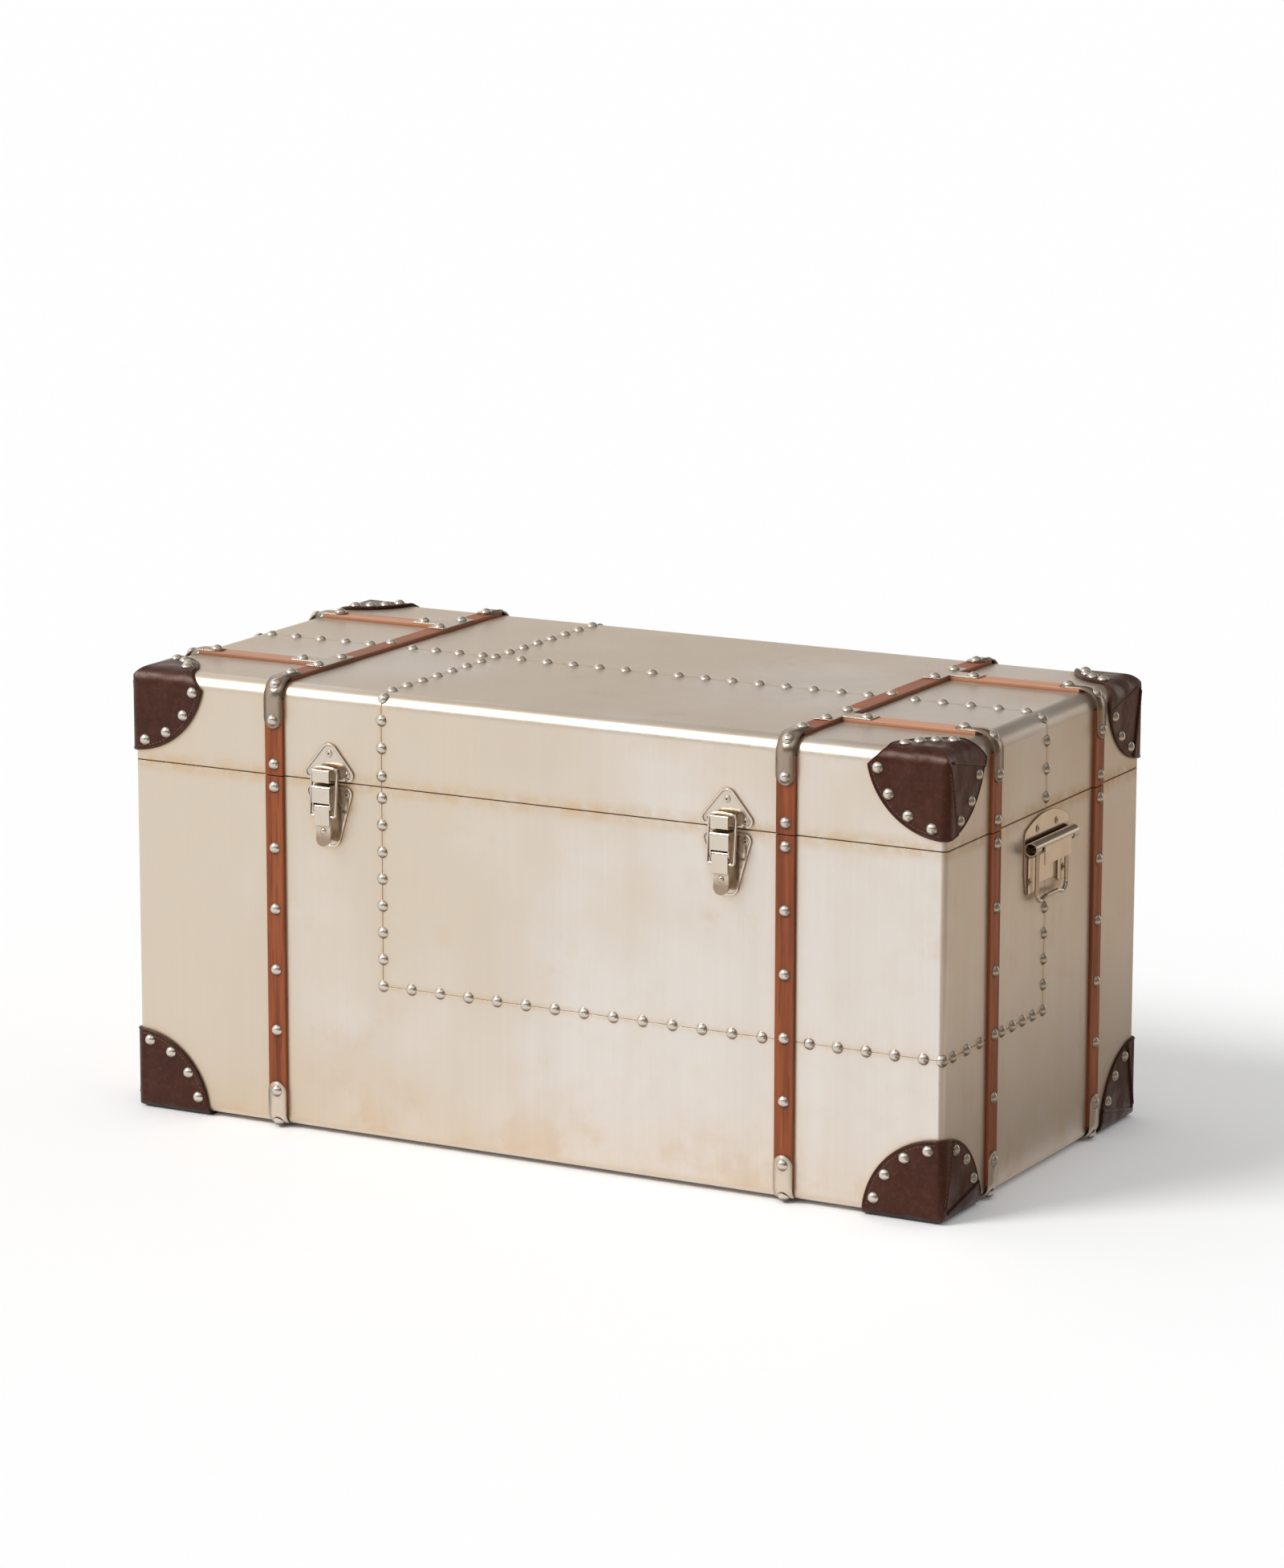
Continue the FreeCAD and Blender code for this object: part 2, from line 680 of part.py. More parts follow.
def lid_corner_bounds():
    """Round bound of a lid corner: a ball below the lid edge that narrows over the top."""
    axis = Vector(half_length, -half_depth, 0)
    lift = plane(axis, X_AXIS, Z_AXIS)
    shoulder = math.sqrt(corner_reach * corner_reach - lid_edge_radius * lid_edge_radius)
    ceiling = leather_top + overrun
    halfway = (math.asin(lid_edge_radius / corner_reach) + math.pi / 2) / 2
    belly = Part.Arc(lift(shoulder, lid_top - lid_edge_radius),
                     lift(corner_reach * math.cos(halfway), lid_top - corner_reach * math.sin(halfway)),
                     lift(0, lid_top - corner_reach)).toShape()
    edges = [Part.makeLine(lift(0, ceiling), lift(lid_corner_top_reach, ceiling)),
             Part.makeLine(lift(lid_corner_top_reach, ceiling), lift(lid_corner_top_reach, lid_top)),
             Part.makeLine(lift(lid_corner_top_reach, lid_top), lift(shoulder, lid_top - lid_edge_radius)),
             belly, Part.makeLine(lift(0, lid_top - corner_reach), lift(0, ceiling))]
    return Part.Face(Part.Wire(edges)).revolve(axis, Z_AXIS, 360)


body_bounds = Part.makeSphere(corner_reach, Vector(half_length, -half_depth, 0))
body_corner = body_corner_form.common(body_bounds).cut(body_outside).cut(dart(0, 1)).Solids[0]
lid_corner = lid_corner_form.common(lid_corner_bounds()).cut(lid_outside).cut(dart(lid_top, -1)).Solids[0]


def ring_nails(level, up):
    """Nails on the front and end face of the front right corner, on a ring about its point."""
    heads = []
    for angle in face_nail_angles:
        along = corner_nail_ring * math.cos(math.radians(angle))
        away = corner_nail_ring * math.sin(math.radians(angle))
        place = Vector(half_length - along, -leather_y, level + up * away)
        heads.append(nail(place, -Y_AXIS))
    for angle in end_nail_angles:
        along = corner_nail_ring * math.cos(math.radians(angle))
        away = corner_nail_ring * math.sin(math.radians(angle))
        place = Vector(leather_x - dart_depth, -half_depth + along, level + up * away)
        heads.append(nail(place, X_AXIS))
    return heads


body_ring = ring_nails(0, 1)
lid_ring = ring_nails(lid_top, -1)
for angle in top_nail_angles:
    along = lid_corner_nail_ring * math.cos(math.radians(angle))
    away = lid_corner_nail_ring * math.sin(math.radians(angle))
    lid_ring.append(nail(Vector(half_length - along, -half_depth + away, leather_top), Z_AXIS))


def four_corners(shape):
    """Front right piece and its mirrored copies, with the names of their places."""
    back = mirrored(shape, Y_AXIS)
    return (("front_right", shape), ("front_left", mirrored(shape, X_AXIS)),
            ("back_right", back), ("back_left", mirrored(back, X_AXIS)))


for place, shape in four_corners(body_corner):
    save("body_" + place + "_corner", [shape])
for place, shape in four_corners(lid_corner):
    save("lid_" + place + "_corner", [shape])
save("body_corner_nails", [shape for head in body_ring for place, shape in four_corners(head)])
save("lid_corner_nails", [shape for head in lid_ring for place, shape in four_corners(head)])

# Draw latches
front_lift = plane(Vector(0, -half_depth, 0), X_AXIS, Z_AXIS)


def side_profile(corners, half_width):
    """Latch piece drawn as (distance from the front, height, radius) and carried across its width."""
    lift = plane(Vector(-half_width, -half_depth, 0), -Y_AXIS, Z_AXIS)
    return prism(corners, lift, X_AXIS * (2 * half_width))


def cross_pin(out, level, radius, half_width):
    """Round bar across the latch."""
    return Part.makeCylinder(radius, 2 * half_width, Vector(-half_width, -half_depth - out, level), X_AXIS)


def rimmed_plate(corners):
    """Pressed plate with a raised rim."""
    edge = outline(corners, front_lift)
    whole = Part.Face(edge).extrude(-Y_AXIS * (latch_plate + latch_rim_height))
    sunk = Part.Face(edge.makeOffset2D(-latch_rim_width)).extrude(-Y_AXIS * latch_rim_height)
    return whole.cut(shifted(sunk, -Y_AXIS * latch_plate)).Solids[0]


keeper_low = lid_bottom + keeper_gap
keeper_top = keeper_low + keeper_block_height
lip_top = keeper_top + keeper_lip_height
lip_inside = keeper_block_reach - keeper_lip_thickness
keeper = joined([
    rimmed_plate(((-keeper_half_base, keeper_low, keeper_base_corner),
                  (keeper_half_base, keeper_low, keeper_base_corner),
                  (0, keeper_low + keeper_height, keeper_apex_corner))),
    side_profile(((0, keeper_low, 0), (keeper_block_reach, keeper_low, keeper_block_corner),
                  (keeper_block_reach, lip_top, keeper_lip_height / 2), (lip_inside, lip_top, 0),
                  (lip_inside, keeper_top, 0), (0, keeper_top, 0)), keeper_block_width / 2)])

shield_top = body_top - shield_gap
shield_waist = shield_waist_shares[0] * shield_half_width
shield_waist_level = shield_top - shield_waist_shares[1] * shield_height
shield_foot = shield_foot_share * shield_half_width
shield_low = shield_top - shield_height
hood_top = body_top - hood_gap
hood_low = hood_top - hood_height
hood_inside = hood_inner_width / 2
hood_half = hood_inside + hood_wall
pin_level = body_top - lever_pin_drop
pin_low = pin_level - ear_radius
ear_bend = ear_radius - hood_wall / 4
plate = rimmed_plate(((-shield_half_width, shield_top, shield_top_corner),
                      (shield_half_width, shield_top, shield_top_corner),
                      (shield_waist, shield_waist_level, shield_waist_corner),
                      (shield_foot, shield_low, shield_foot_corner),
                      (-shield_foot, shield_low, shield_foot_corner),
                      (-shield_waist, shield_waist_level, shield_waist_corner)))
hood = side_profile(((0, hood_low, 0), (hood_reach, hood_low, 0),
                     (hood_reach, hood_top, hood_corner), (0, hood_top, 0)), hood_half)
ear_front = lever_pin_out + ear_radius
ear_back = lever_pin_out - ear_radius
ear_top = hood_top - hood_wall
ears = side_profile(((0, ear_top, 0), (ear_front, ear_top, 0), (ear_front, pin_low, ear_bend),
                     (ear_back, pin_low, ear_bend), (latch_plate, hood_low, 0), (0, hood_low, 0)), hood_half)
hollow_front = hood_reach - hood_wall
hollow_low = pin_low - overrun
hollow = side_profile(((latch_plate, hollow_low, 0), (hollow_front, hollow_low, 0),
                       (hollow_front, ear_top, hood_corner - hood_wall),
                       (latch_plate, ear_top, 0)), hood_inside)
pin_bore = cross_pin(lever_pin_out, pin_level, lever_pin_radius + running_gap, hood_half + overrun)
latch_base = joined([plate, joined([hood, ears]).cut(hollow)]).cut(pin_bore).Solids[0]
latch_pin = cross_pin(lever_pin_out, pin_level, lever_pin_radius, hood_half)

bail_level = body_top - bail_pin_drop
lever_half = hood_inside - lever_side_gap
lever_front = lever_pin_out + lever_knuckle
lever_back = lever_pin_out - lever_knuckle
lever_low = pin_level - lever_length
tab_low = pin_level - lever_tab
knuckle_bend = lever_knuckle - running_gap
spoon_front = lever_front - spoon_step
spoon_back = spoon_front - spoon_thickness
spoon_tip = spoon_thickness / 4
spoon_middle = (tab_low + lever_low) / 2
spoon_half = spoon_share * lever_half
lever_body = side_profile(((lever_back, pin_level + lever_knuckle, knuckle_bend),
                           (lever_front, pin_level + lever_knuckle, knuckle_bend),
                           (lever_front, tab_low, lever_edge), (spoon_front, tab_low, 0),
                           (spoon_front, spoon_middle, lever_knuckle),
                           (spoon_front + lever_flare, lever_low, spoon_tip),
                           (spoon_back + lever_flare, lever_low, spoon_tip),
                           (spoon_back, spoon_middle, lever_knuckle),
                           (spoon_back, tab_low, 0), (lever_back, tab_low, 0)), lever_half)
lever_mask = prism(((-spoon_half, lever_low, spoon_half), (spoon_half, lever_low, spoon_half),
                    (spoon_half, tab_low, 0), (lever_half, tab_low, 0), (lever_half, hood_top, 0),
                    (-lever_half, hood_top, 0), (-lever_half, tab_low, 0), (-spoon_half, tab_low, 0)),
                   front_lift, -Y_AXIS * (lever_front + overrun))
bump_ball = dome_ball(spoon_bump_radius, spoon_bump_height)
bump_depth = -half_depth - spoon_front - spoon_bump_height + bump_ball
bump = Part.makeSphere(bump_ball, Vector(0, bump_depth, tab_low - spoon_bump_drop))
bump_floor = -half_depth - (spoon_front + spoon_back) / 2
lever_behind = block(-half_length, half_length, bump_floor, half_depth, 0, lid_top)
bump = bump.common(lever_mask.cut(lever_behind))
bore_half = lever_half + overrun
lever = joined([lever_body.common(lever_mask), bump])
lever = lever.cut(cross_pin(lever_pin_out, pin_level, lever_pin_radius + running_gap, bore_half))
lever = lever.cut(cross_pin(bail_pin_out, bail_level, bail_wire_radius + running_gap, bore_half)).Solids[0]

bail_dip = bail_arch * (1 - keeper_block_width / 2 / bail_half_width)
bail_bar_level = keeper_top + bail_seat_gap + bail_wire_radius - bail_dip
bail_rise = Vector(0, bail_pin_out - bail_bar_out, bail_bar_level - bail_level)
bail_length = bail_rise.Length
stub_end = bail_half_width - bail_stub
bail_lift = plane(Vector(0, -half_depth - bail_pin_out, bail_level), X_AXIS, Vector(bail_rise).normalize())
bail = rod(((-stub_end, 0, 0), (-bail_half_width, 0, bail_bend),
            (-bail_half_width, bail_length, bail_corner), (0, bail_length + bail_arch, bail_arch_radius),
            (bail_half_width, bail_length, bail_corner), (bail_half_width, 0, bail_bend),
            (stub_end, 0, 0)), bail_lift, bail_wire_radius)

body_rivets = []
lid_rivets = []
keepers = []
for name, place in (("left", -latch_offset), ("right", latch_offset)):
    spot = X_AXIS * place
    save(name + "_latch_base", [shifted(latch_base, spot)])
    save(name + "_latch_lever", [shifted(lever, spot)])
    save(name + "_latch_bail", [shifted(bail, spot)])
    keepers.append(shifted(keeper, spot))
    body_rivets.append(shifted(latch_pin, spot))
    for u, v in three_rivets(shield_rivet_side, shield_rivet_high, shield_rivet_low):
        body_rivets.append(rivet(Vector(place + u, -half_depth - latch_plate, shield_top - v), -Y_AXIS))
    for u, v in three_rivets(keeper_rivet_side, keeper_rivet_low, keeper_rivet_high):
        lid_rivets.append(rivet(Vector(place + u, -half_depth - latch_plate, keeper_low + v), -Y_AXIS))
save("latch_keepers", keepers)

# End handles, drawn on the right end and mirrored
handle_top = body_top - handle_top_gap
shoulder = handle_top - handle_shoulder
foot_level = handle_top - handle_height
arch_level = shoulder + handle_arch_rise
tube_level = body_top - handle_tube_drop
end_lift = plane(Vector(half_length, 0, 0), Y_AXIS, Z_AXIS)
foot_outside = handle_half_width - handle_foot_taper
foot_inside = foot_outside - handle_foot_width
half_outline = [(foot_inside - handle_foot_slope, foot_level + handle_foot_arch, handle_foot_slope),
                (foot_inside, foot_level, handle_foot_corner),
                (foot_outside, foot_level, handle_foot_corner),
                (handle_half_width, foot_level + handle_foot_rise, handle_foot_slope),
                (handle_half_width, shoulder, handle_shoulder_corner)]
other_half = [(-u, v, radius) for u, v, radius in reversed(half_outline)]
handle_outline = half_outline + [(0, arch_level, handle_arch_radius)] + other_half


def end_tube(radius, half_width):
    """Round bar along the rolled top of a handle plate."""
    start = Vector(half_length + handle_tube_out, -half_width, tube_level)
    return Part.makeCylinder(radius, 2 * half_width, start, Y_AXIS)


tube_bore = handle_tube_radius - handle_tube_wall
tube_front = half_length + handle_tube_out + handle_tube_radius
seat_level = tube_level - tube_bore + handle_wire_radius + handle_seat_gap
notch_half = handle_wire_radius + handle_notch_clearance
flap_half = handle_leg_offset - notch_half
handle_base = joined([prism(handle_outline, end_lift, X_AXIS * handle_plate),
                      end_tube(handle_tube_radius, handle_tube_half),
                      block(tube_front - handle_tube_wall, tube_front, -flap_half, flap_half,
                            tube_level - handle_flap_drop, tube_level)])
handle_base = handle_base.cut(end_tube(tube_bore, handle_tube_half + overrun))
for side in (-handle_leg_offset, handle_leg_offset):
    handle_base = handle_base.cut(block(half_length + handle_tube_out - notch_half, tube_front + overrun,
                                        side - notch_half, side + notch_half,
                                        tube_level - handle_flap_drop - overrun, seat_level + notch_half))
handle_base = handle_base.Solids[0]
handle_stub_end = handle_leg_offset - handle_stub
handle_lift = plane(Vector(half_length + handle_tube_out, 0, seat_level), Y_AXIS, -Z_AXIS)
handle_bail = rod(((-handle_stub_end, 0, 0), (-handle_leg_offset, 0, handle_stub_bend),
                   (-handle_leg_offset, handle_drop, handle_corner),
                   (-handle_grip_half, handle_drop - handle_grip_rise, handle_grip_bend),
                   (handle_grip_half, handle_drop - handle_grip_rise, handle_grip_bend),
                   (handle_leg_offset, handle_drop, handle_corner),
                   (handle_leg_offset, 0, handle_stub_bend), (handle_stub_end, 0, 0)),
                  handle_lift, handle_wire_radius)
handle_rivets = []
for side in (-1, 1):
    for u, v in ((handle_rivet_side, handle_top - handle_rivet_high),
                 (handle_foot_rivet_side, foot_level + handle_foot_rivet_rise)):
        handle_rivets.append(rivet(Vector(half_length + handle_plate, side * u, v), X_AXIS))
save("right_handle_plate", [handle_base])
save("left_handle_plate", [mirrored(handle_base, X_AXIS)])
save("right_handle_bail", [handle_bail])
save("left_handle_bail", [mirrored(handle_bail, X_AXIS)])
body_rivets += handle_rivets
body_rivets += [mirrored(head, X_AXIS) for head in handle_rivets]

# Hinges on the back
hinge_depth = half_depth + hinge_axis_out
knuckle = (hinge_width - 2 * hinge_knuckle_gap) / 3


def hinge_bar(radius, x_from, x_to):
    """Round bar on the hinge axis."""
    return Part.makeCylinder(radius, x_to - x_from, Vector(x_from, hinge_depth, seam_level), X_AXIS)


def hinge_leaf_shape(up, runs):
    """Hinge leaf above (up 1) or below (up -1) the seam, with knuckles over the given runs."""
    half = hinge_width / 2
    start = seam_level + up * (hinge_barrel_radius + hinge_knuckle_gap)
    tip = seam_level + up * hinge_leaf_height
    lift = plane(Vector(0, half_depth, 0), X_AXIS, Z_AXIS)
    flat = ((-half, start, 0), (half, start, 0),
            (half, tip, hinge_leaf_corner), (-half, tip, hinge_leaf_corner))
    neck = ((0, 0, 0), (hinge_axis_out, 0, 0), (hinge_axis_out, hinge_barrel_radius, 0),
            (hinge_leaf, hinge_neck, 0), (0, hinge_neck, 0))
    pieces = [prism(flat, lift, Y_AXIS * hinge_leaf)]
    for x_from, x_to in runs:
        neck_lift = plane(Vector(x_from, half_depth, seam_level), Y_AXIS, Z_AXIS * up)
        pieces.append(prism(neck, neck_lift, X_AXIS * (x_to - x_from)))
        pieces.append(hinge_bar(hinge_barrel_radius, x_from, x_to))
    bore = hinge_bar(hinge_pin_radius + running_gap, -half - overrun, half + overrun)
    return joined(pieces).cut(bore).Solids[0]


outer_knuckle = hinge_width / 2 - knuckle
body_leaf = hinge_leaf_shape(-1, ((-hinge_width / 2, -outer_knuckle), (outer_knuckle, hinge_width / 2)))
lid_leaf = hinge_leaf_shape(1, ((-knuckle / 2, knuckle / 2),))
hinge_pin = hinge_bar(hinge_pin_radius, -hinge_width / 2, hinge_width / 2)
body_leaves = []
lid_leaves = []
hinge_pins = []
for place in (-hinge_offset, hinge_offset):
    spot = X_AXIS * place
    body_leaves.append(shifted(body_leaf, spot))
    lid_leaves.append(shifted(lid_leaf, spot))
    hinge_pins.append(shifted(hinge_pin, spot))
    for u, v in three_rivets(hinge_rivet_side, hinge_rivet_low, hinge_rivet_high):
        body_rivets.append(rivet(Vector(place + u, half_depth + hinge_leaf, seam_level - v), Y_AXIS))
        lid_rivets.append(rivet(Vector(place + u, half_depth + hinge_leaf, seam_level + v), Y_AXIS))
save("body_hinge_leaves", body_leaves)
save("lid_hinge_leaves", lid_leaves)
save("hinge_pins", hinge_pins)

# Lid stay: a slotted arm that hangs from the lid and slides on a stud of the body
arm_outside = lining_x - stay_wall_gap


def stay_place(angle, up):
    """Point of the stay on the circle about the hinge, above or below the level of the hinge."""
    across = stay_radius * math.cos(math.radians(angle))
    rise = stay_radius * math.sin(math.radians(angle))
    return Vector(0, hinge_depth - across, seam_level + up * rise)


def stay_pin(place):
    """Stepped pin: boss against the wall, shank through the arm and a head."""
    boss_end = arm_outside + stay_side_gap
    shank_end = arm_outside - stay_thickness - stay_side_gap
    head_end = shank_end - stay_head_height
    boss = Part.makeCylinder(stay_boss_radius, lining_x - boss_end, place + X_AXIS * boss_end, X_AXIS)
    shank = Part.makeCylinder(stay_pin_radius, boss_end - shank_end, place + X_AXIS * shank_end, X_AXIS)
    head = Part.makeCylinder(stay_boss_radius, stay_head_height, place + X_AXIS * head_end, X_AXIS)
    return joined([boss, shank, head])


stay_pivot = stay_place(stay_lid_angle, 1)
stay_stud = stay_place(stay_body_angle, -1)
stay_closed = 2 * stay_radius * math.sin(math.radians((stay_lid_angle + stay_body_angle) / 2))
stay_open = 2 * stay_radius * math.sin(math.radians((stay_lid_angle + stay_body_angle + lid_opening) / 2))
stay_heading = (stay_stud - stay_pivot).normalize()
arm_inside = X_AXIS * (arm_outside - stay_thickness)
arm_lift = plane(stay_pivot + arm_inside, stay_heading, stay_heading.cross(X_AXIS))


def stadium(start, stop, half):
    """Long outline with round ends about start and stop."""
    return ((start - half, -half, half), (stop + half, -half, half),
            (stop + half, half, half), (start - half, half, half))


slot_half = stay_pin_radius + stay_slot_gap
arm = prism(stadium(0, stay_open, stay_width / 2), arm_lift, X_AXIS * stay_thickness)
arm = arm.cut(prism(stadium(stay_closed, stay_open, slot_half), arm_lift, X_AXIS * stay_thickness))
pivot_bore = stay_pin_radius + running_gap
arm = arm.cut(Part.makeCylinder(pivot_bore, stay_thickness, stay_pivot + arm_inside, X_AXIS))
save("lid_stay_arm", [arm.Solids[0]])
save("stay_stud", [stay_pin(stay_stud)])
lid_rivets.append(stay_pin(stay_pivot))
save("body_hardware_rivets", body_rivets)
save("lid_hardware_rivets", lid_rivets)
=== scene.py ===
# %% [markdown]
# # A metal-covered storage trunk
#
# The trunk is a box of boards under a skin of champagne-coloured sheet metal. Wooden slats
# stiffen it, leather caps guard its corners, and domed nails hold everything down.
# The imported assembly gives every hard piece. This file adds the stitches and rolled rims of
# the leather, the finishes, a floor, light and a camera.

# %% The frame
import json
import math

import bpy
import numpy as np
from mathutils import Matrix


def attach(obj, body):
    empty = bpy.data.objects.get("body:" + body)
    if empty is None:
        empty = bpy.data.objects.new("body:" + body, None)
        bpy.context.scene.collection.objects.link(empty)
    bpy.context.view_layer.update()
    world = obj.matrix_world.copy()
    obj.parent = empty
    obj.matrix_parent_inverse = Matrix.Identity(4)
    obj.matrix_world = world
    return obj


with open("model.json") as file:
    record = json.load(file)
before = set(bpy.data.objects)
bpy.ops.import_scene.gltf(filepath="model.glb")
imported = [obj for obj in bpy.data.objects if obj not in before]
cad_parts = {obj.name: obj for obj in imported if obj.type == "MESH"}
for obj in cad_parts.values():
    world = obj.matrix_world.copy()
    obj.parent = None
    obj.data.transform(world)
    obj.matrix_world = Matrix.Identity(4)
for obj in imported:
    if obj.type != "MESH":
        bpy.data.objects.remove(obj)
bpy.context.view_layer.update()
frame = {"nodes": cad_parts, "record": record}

# %% [markdown]
# ## Sizes
#
# These few sizes, in metres, say where the leather corners and the sheet seams lie.
# Stitches and stains follow them.

# %% Sizes
HALF_LENGTH = 0.450
HALF_DEPTH = 0.225
LID_TOP = 0.454
LID_SEAM = 0.361
LEATHER = 0.003
CORNER_REACH = 0.083
TOP_REACH = 0.066
FOLD_DEPTH = 0.0012
UPRIGHT_SEAM = -0.16155
LEVEL_SEAM = 0.160
print("covering:", 2 * HALF_LENGTH, "by", 2 * HALF_DEPTH, "m; corners reach", CORNER_REACH, "m")

# %% [markdown]
# ## Wiring helpers
#
# A material is a small net of nodes. These helpers add one node and join its inputs,
# so that each recipe below reads from top to bottom.


# %% Wiring helpers
def join(tree, socket, value):
    """Links an output socket to an input, or sets the input to a plain value."""
    if isinstance(value, bpy.types.NodeSocket):
        tree.links.new(value, socket)
    else:
        socket.default_value = value


def add(tree, kind, inputs=None, **settings):
    """One shader node; inputs are numbers, colours or output sockets."""
    made = tree.nodes.new(kind)
    for name, value in settings.items():
        setattr(made, name, value)
    for name, value in (inputs or {}).items():
        join(tree, made.inputs[name], value)
    return made


def feed(tree, shader, **values):
    """Sets or joins inputs of the Principled shader; underscores stand for spaces."""
    for name, value in values.items():
        join(tree, shader.inputs[name.replace("_", " ")], value)


def new_material(name):
    """An empty material with its node tree, its Principled shader and its object places."""
    material = bpy.data.materials.new(name)
    material.use_nodes = True
    tree = material.node_tree
    tree.nodes.clear()
    shader = add(tree, "ShaderNodeBsdfPrincipled")
    out = add(tree, "ShaderNodeOutputMaterial")
    tree.links.new(shader.outputs[0], out.inputs["Surface"])
    place = add(tree, "ShaderNodeTexCoord").outputs["Object"]
    return material, tree, shader, place


print("helpers that wire nodes are ready")


# %% Masks
def maths(tree, operation, first, second=0.0, third=0.0):
    """One arithmetic node."""
    inputs = {0: first, 1: second, 2: third}
    return add(tree, "ShaderNodeMath", inputs, operation=operation).outputs[0]


def scaled(tree, value, factor, base=0.0):
    """value * factor + base."""
    return maths(tree, "MULTIPLY_ADD", value, factor, base)


def inverse(tree, mask):
    """1 where the mask is 0, and the other way round."""
    return maths(tree, "SUBTRACT", 1.0, mask)


def both(tree, first, *others):
    """The product of masks: 1 only where all are 1."""
    for other in others:
        first = maths(tree, "MULTIPLY", first, other)
    return first


def highest(tree, first, *others):
    """The largest of several masks."""
    for other in others:
        first = maths(tree, "MAXIMUM", first, other)
    return first


def above(tree, value, level):
    """1 where the value is over the level, else 0."""
    return maths(tree, "GREATER_THAN", value, level)


def below(tree, value, level):
    """1 where the value is under the level, else 0."""
    return maths(tree, "LESS_THAN", value, level)


def ramp(tree, value, low, high):
    """A soft step from 0 at low to 1 at high."""
    inputs = {"Value": value, "From Min": low, "From Max": high}
    made = add(tree, "ShaderNodeMapRange", inputs, interpolation_type="SMOOTHSTEP")
    return made.outputs["Result"]


def band(tree, value, middle, width):
    """1 on a line at middle, falling to 0 at width from it."""
    away = maths(tree, "ABSOLUTE", maths(tree, "SUBTRACT", value, middle))
    return inverse(tree, ramp(tree, away, 0.0, width))


print("helpers that make masks are ready")


# %% Colours and patterns
def blend(tree, factor, first, second):
    """A mix of two colours; the Mix node keeps its colours at inputs 6 and 7."""
    made = add(tree, "ShaderNodeMix", data_type="RGBA")
    for number, value in ((0, factor), (6, first), (7, second)):
        join(tree, made.inputs[number], value)
    return made.outputs[2]


def tint(tree, colour, mask, amount, paint):
    """Lays a paint over a colour as far as the mask times the amount."""
    return blend(tree, maths(tree, "MULTIPLY", mask, amount), colour, paint)


def noise(tree, place, scale, detail=4.0, rough=0.55):
    """Cloudy noise between 0 and 1."""
    inputs = {"Vector": place, "Scale": scale, "Detail": detail, "Roughness": rough}
    return add(tree, "ShaderNodeTexNoise", inputs).outputs["Fac"]


def stretched(tree, place, stretch):
    """Places squeezed along the axes, so that a pattern runs long ways."""
    return add(tree, "ShaderNodeVectorMath", {0: place, 1: stretch}, operation="MULTIPLY").outputs[0]


def axes(tree, place):
    """The three coordinates of a place."""
    return add(tree, "ShaderNodeSeparateXYZ", {0: place}).outputs[:3]


def bumped(tree, height, strength, distance, normal=None):
    """A normal tipped by a height pattern, over another normal where one is given."""
    inputs = {"Height": height, "Strength": strength, "Distance": distance}
    if normal is not None:
        inputs["Normal"] = normal
    return add(tree, "ShaderNodeBump", inputs).outputs[0]


print("helpers that mix colours and patterns are ready")

# %% [markdown]
# ## Shared effects
#
# Where one piece meets another the colour darkens: dirt, and painted shade where occlusion
# finds the nook. Edges turn lighter: worn on wood and leather, a painted highlight on the
# plating. Both come from the shape itself: occlusion finds the nooks, and a bevelled normal
# that differs from the true one finds the edges. The group puts out masks and a normal.


# %% Shared effects
def shape_effects():
    """Node group: nook mask, edge mask and a rounded normal."""
    group = bpy.data.node_groups.new("shape_effects", "ShaderNodeTree")
    face = group.interface
    for name, start in (("Nook reach", 0.012), ("Edge radius", 0.0012)):
        socket = face.new_socket(name=name, in_out="INPUT", socket_type="NodeSocketFloat")
        socket.default_value = start
    for name, kind in (("Nook", "Float"), ("Edge", "Float"), ("Normal", "Vector")):
        face.new_socket(name=name, in_out="OUTPUT", socket_type="NodeSocket" + kind)
    given = group.nodes.new("NodeGroupInput")
    result = group.nodes.new("NodeGroupOutput")
    reach = {"Distance": given.outputs["Nook reach"]}
    hidden = add(group, "ShaderNodeAmbientOcclusion", reach, samples=6)
    bevel = add(group, "ShaderNodeBevel", {"Radius": given.outputs["Edge radius"]}, samples=4)
    pair = {0: bevel.outputs[0], 1: add(group, "ShaderNodeNewGeometry").outputs["Normal"]}
    likeness = add(group, "ShaderNodeVectorMath", pair, operation="DOT_PRODUCT").outputs["Value"]
    edge = ramp(group, inverse(group, likeness), 0.01, 0.20)
    group.links.new(inverse(group, hidden.outputs["AO"]), result.inputs["Nook"])
    group.links.new(edge, result.inputs["Edge"])
    group.links.new(bevel.outputs[0], result.inputs["Normal"])
    return group


EFFECTS = shape_effects()


def effects(tree, reach, radius):
    """The shared group inside a material."""
    made = add(tree, "ShaderNodeGroup", {}, node_tree=EFFECTS)
    made.inputs["Nook reach"].default_value = reach
    made.inputs["Edge radius"].default_value = radius
    return made.outputs["Nook"], made.outputs["Edge"], made.outputs["Normal"]


print("shared group:", EFFECTS.name, "with", len(EFFECTS.nodes), "nodes")

# %% [markdown]
# ## Sheet metal
#
# The covering is thin steel with a warm satin finish. It is rolled flat, so the large faces
# only ripple a little. Amber lacquer pools along the seams and at the bottom edge. Round the
# hardware the amber and a dark ring at the foot of each piece are lacquer and painted shade
# together. A pale band at the very bottom is a painted highlight, and the colour cools towards
# the right, a painted reflection. Masks from the coordinates put these marks where the seams
# of the assembly are.

# %% Stains on the sheet
FRONT_FACE, RIGHT_FACE = -0.2, 0.44
STAIN_WIDTH, LID_STAIN_WIDTH = 0.007, 0.016
FOOT_STAIN_LOW, FOOT_STAIN_HIGH = 0.002, 0.110


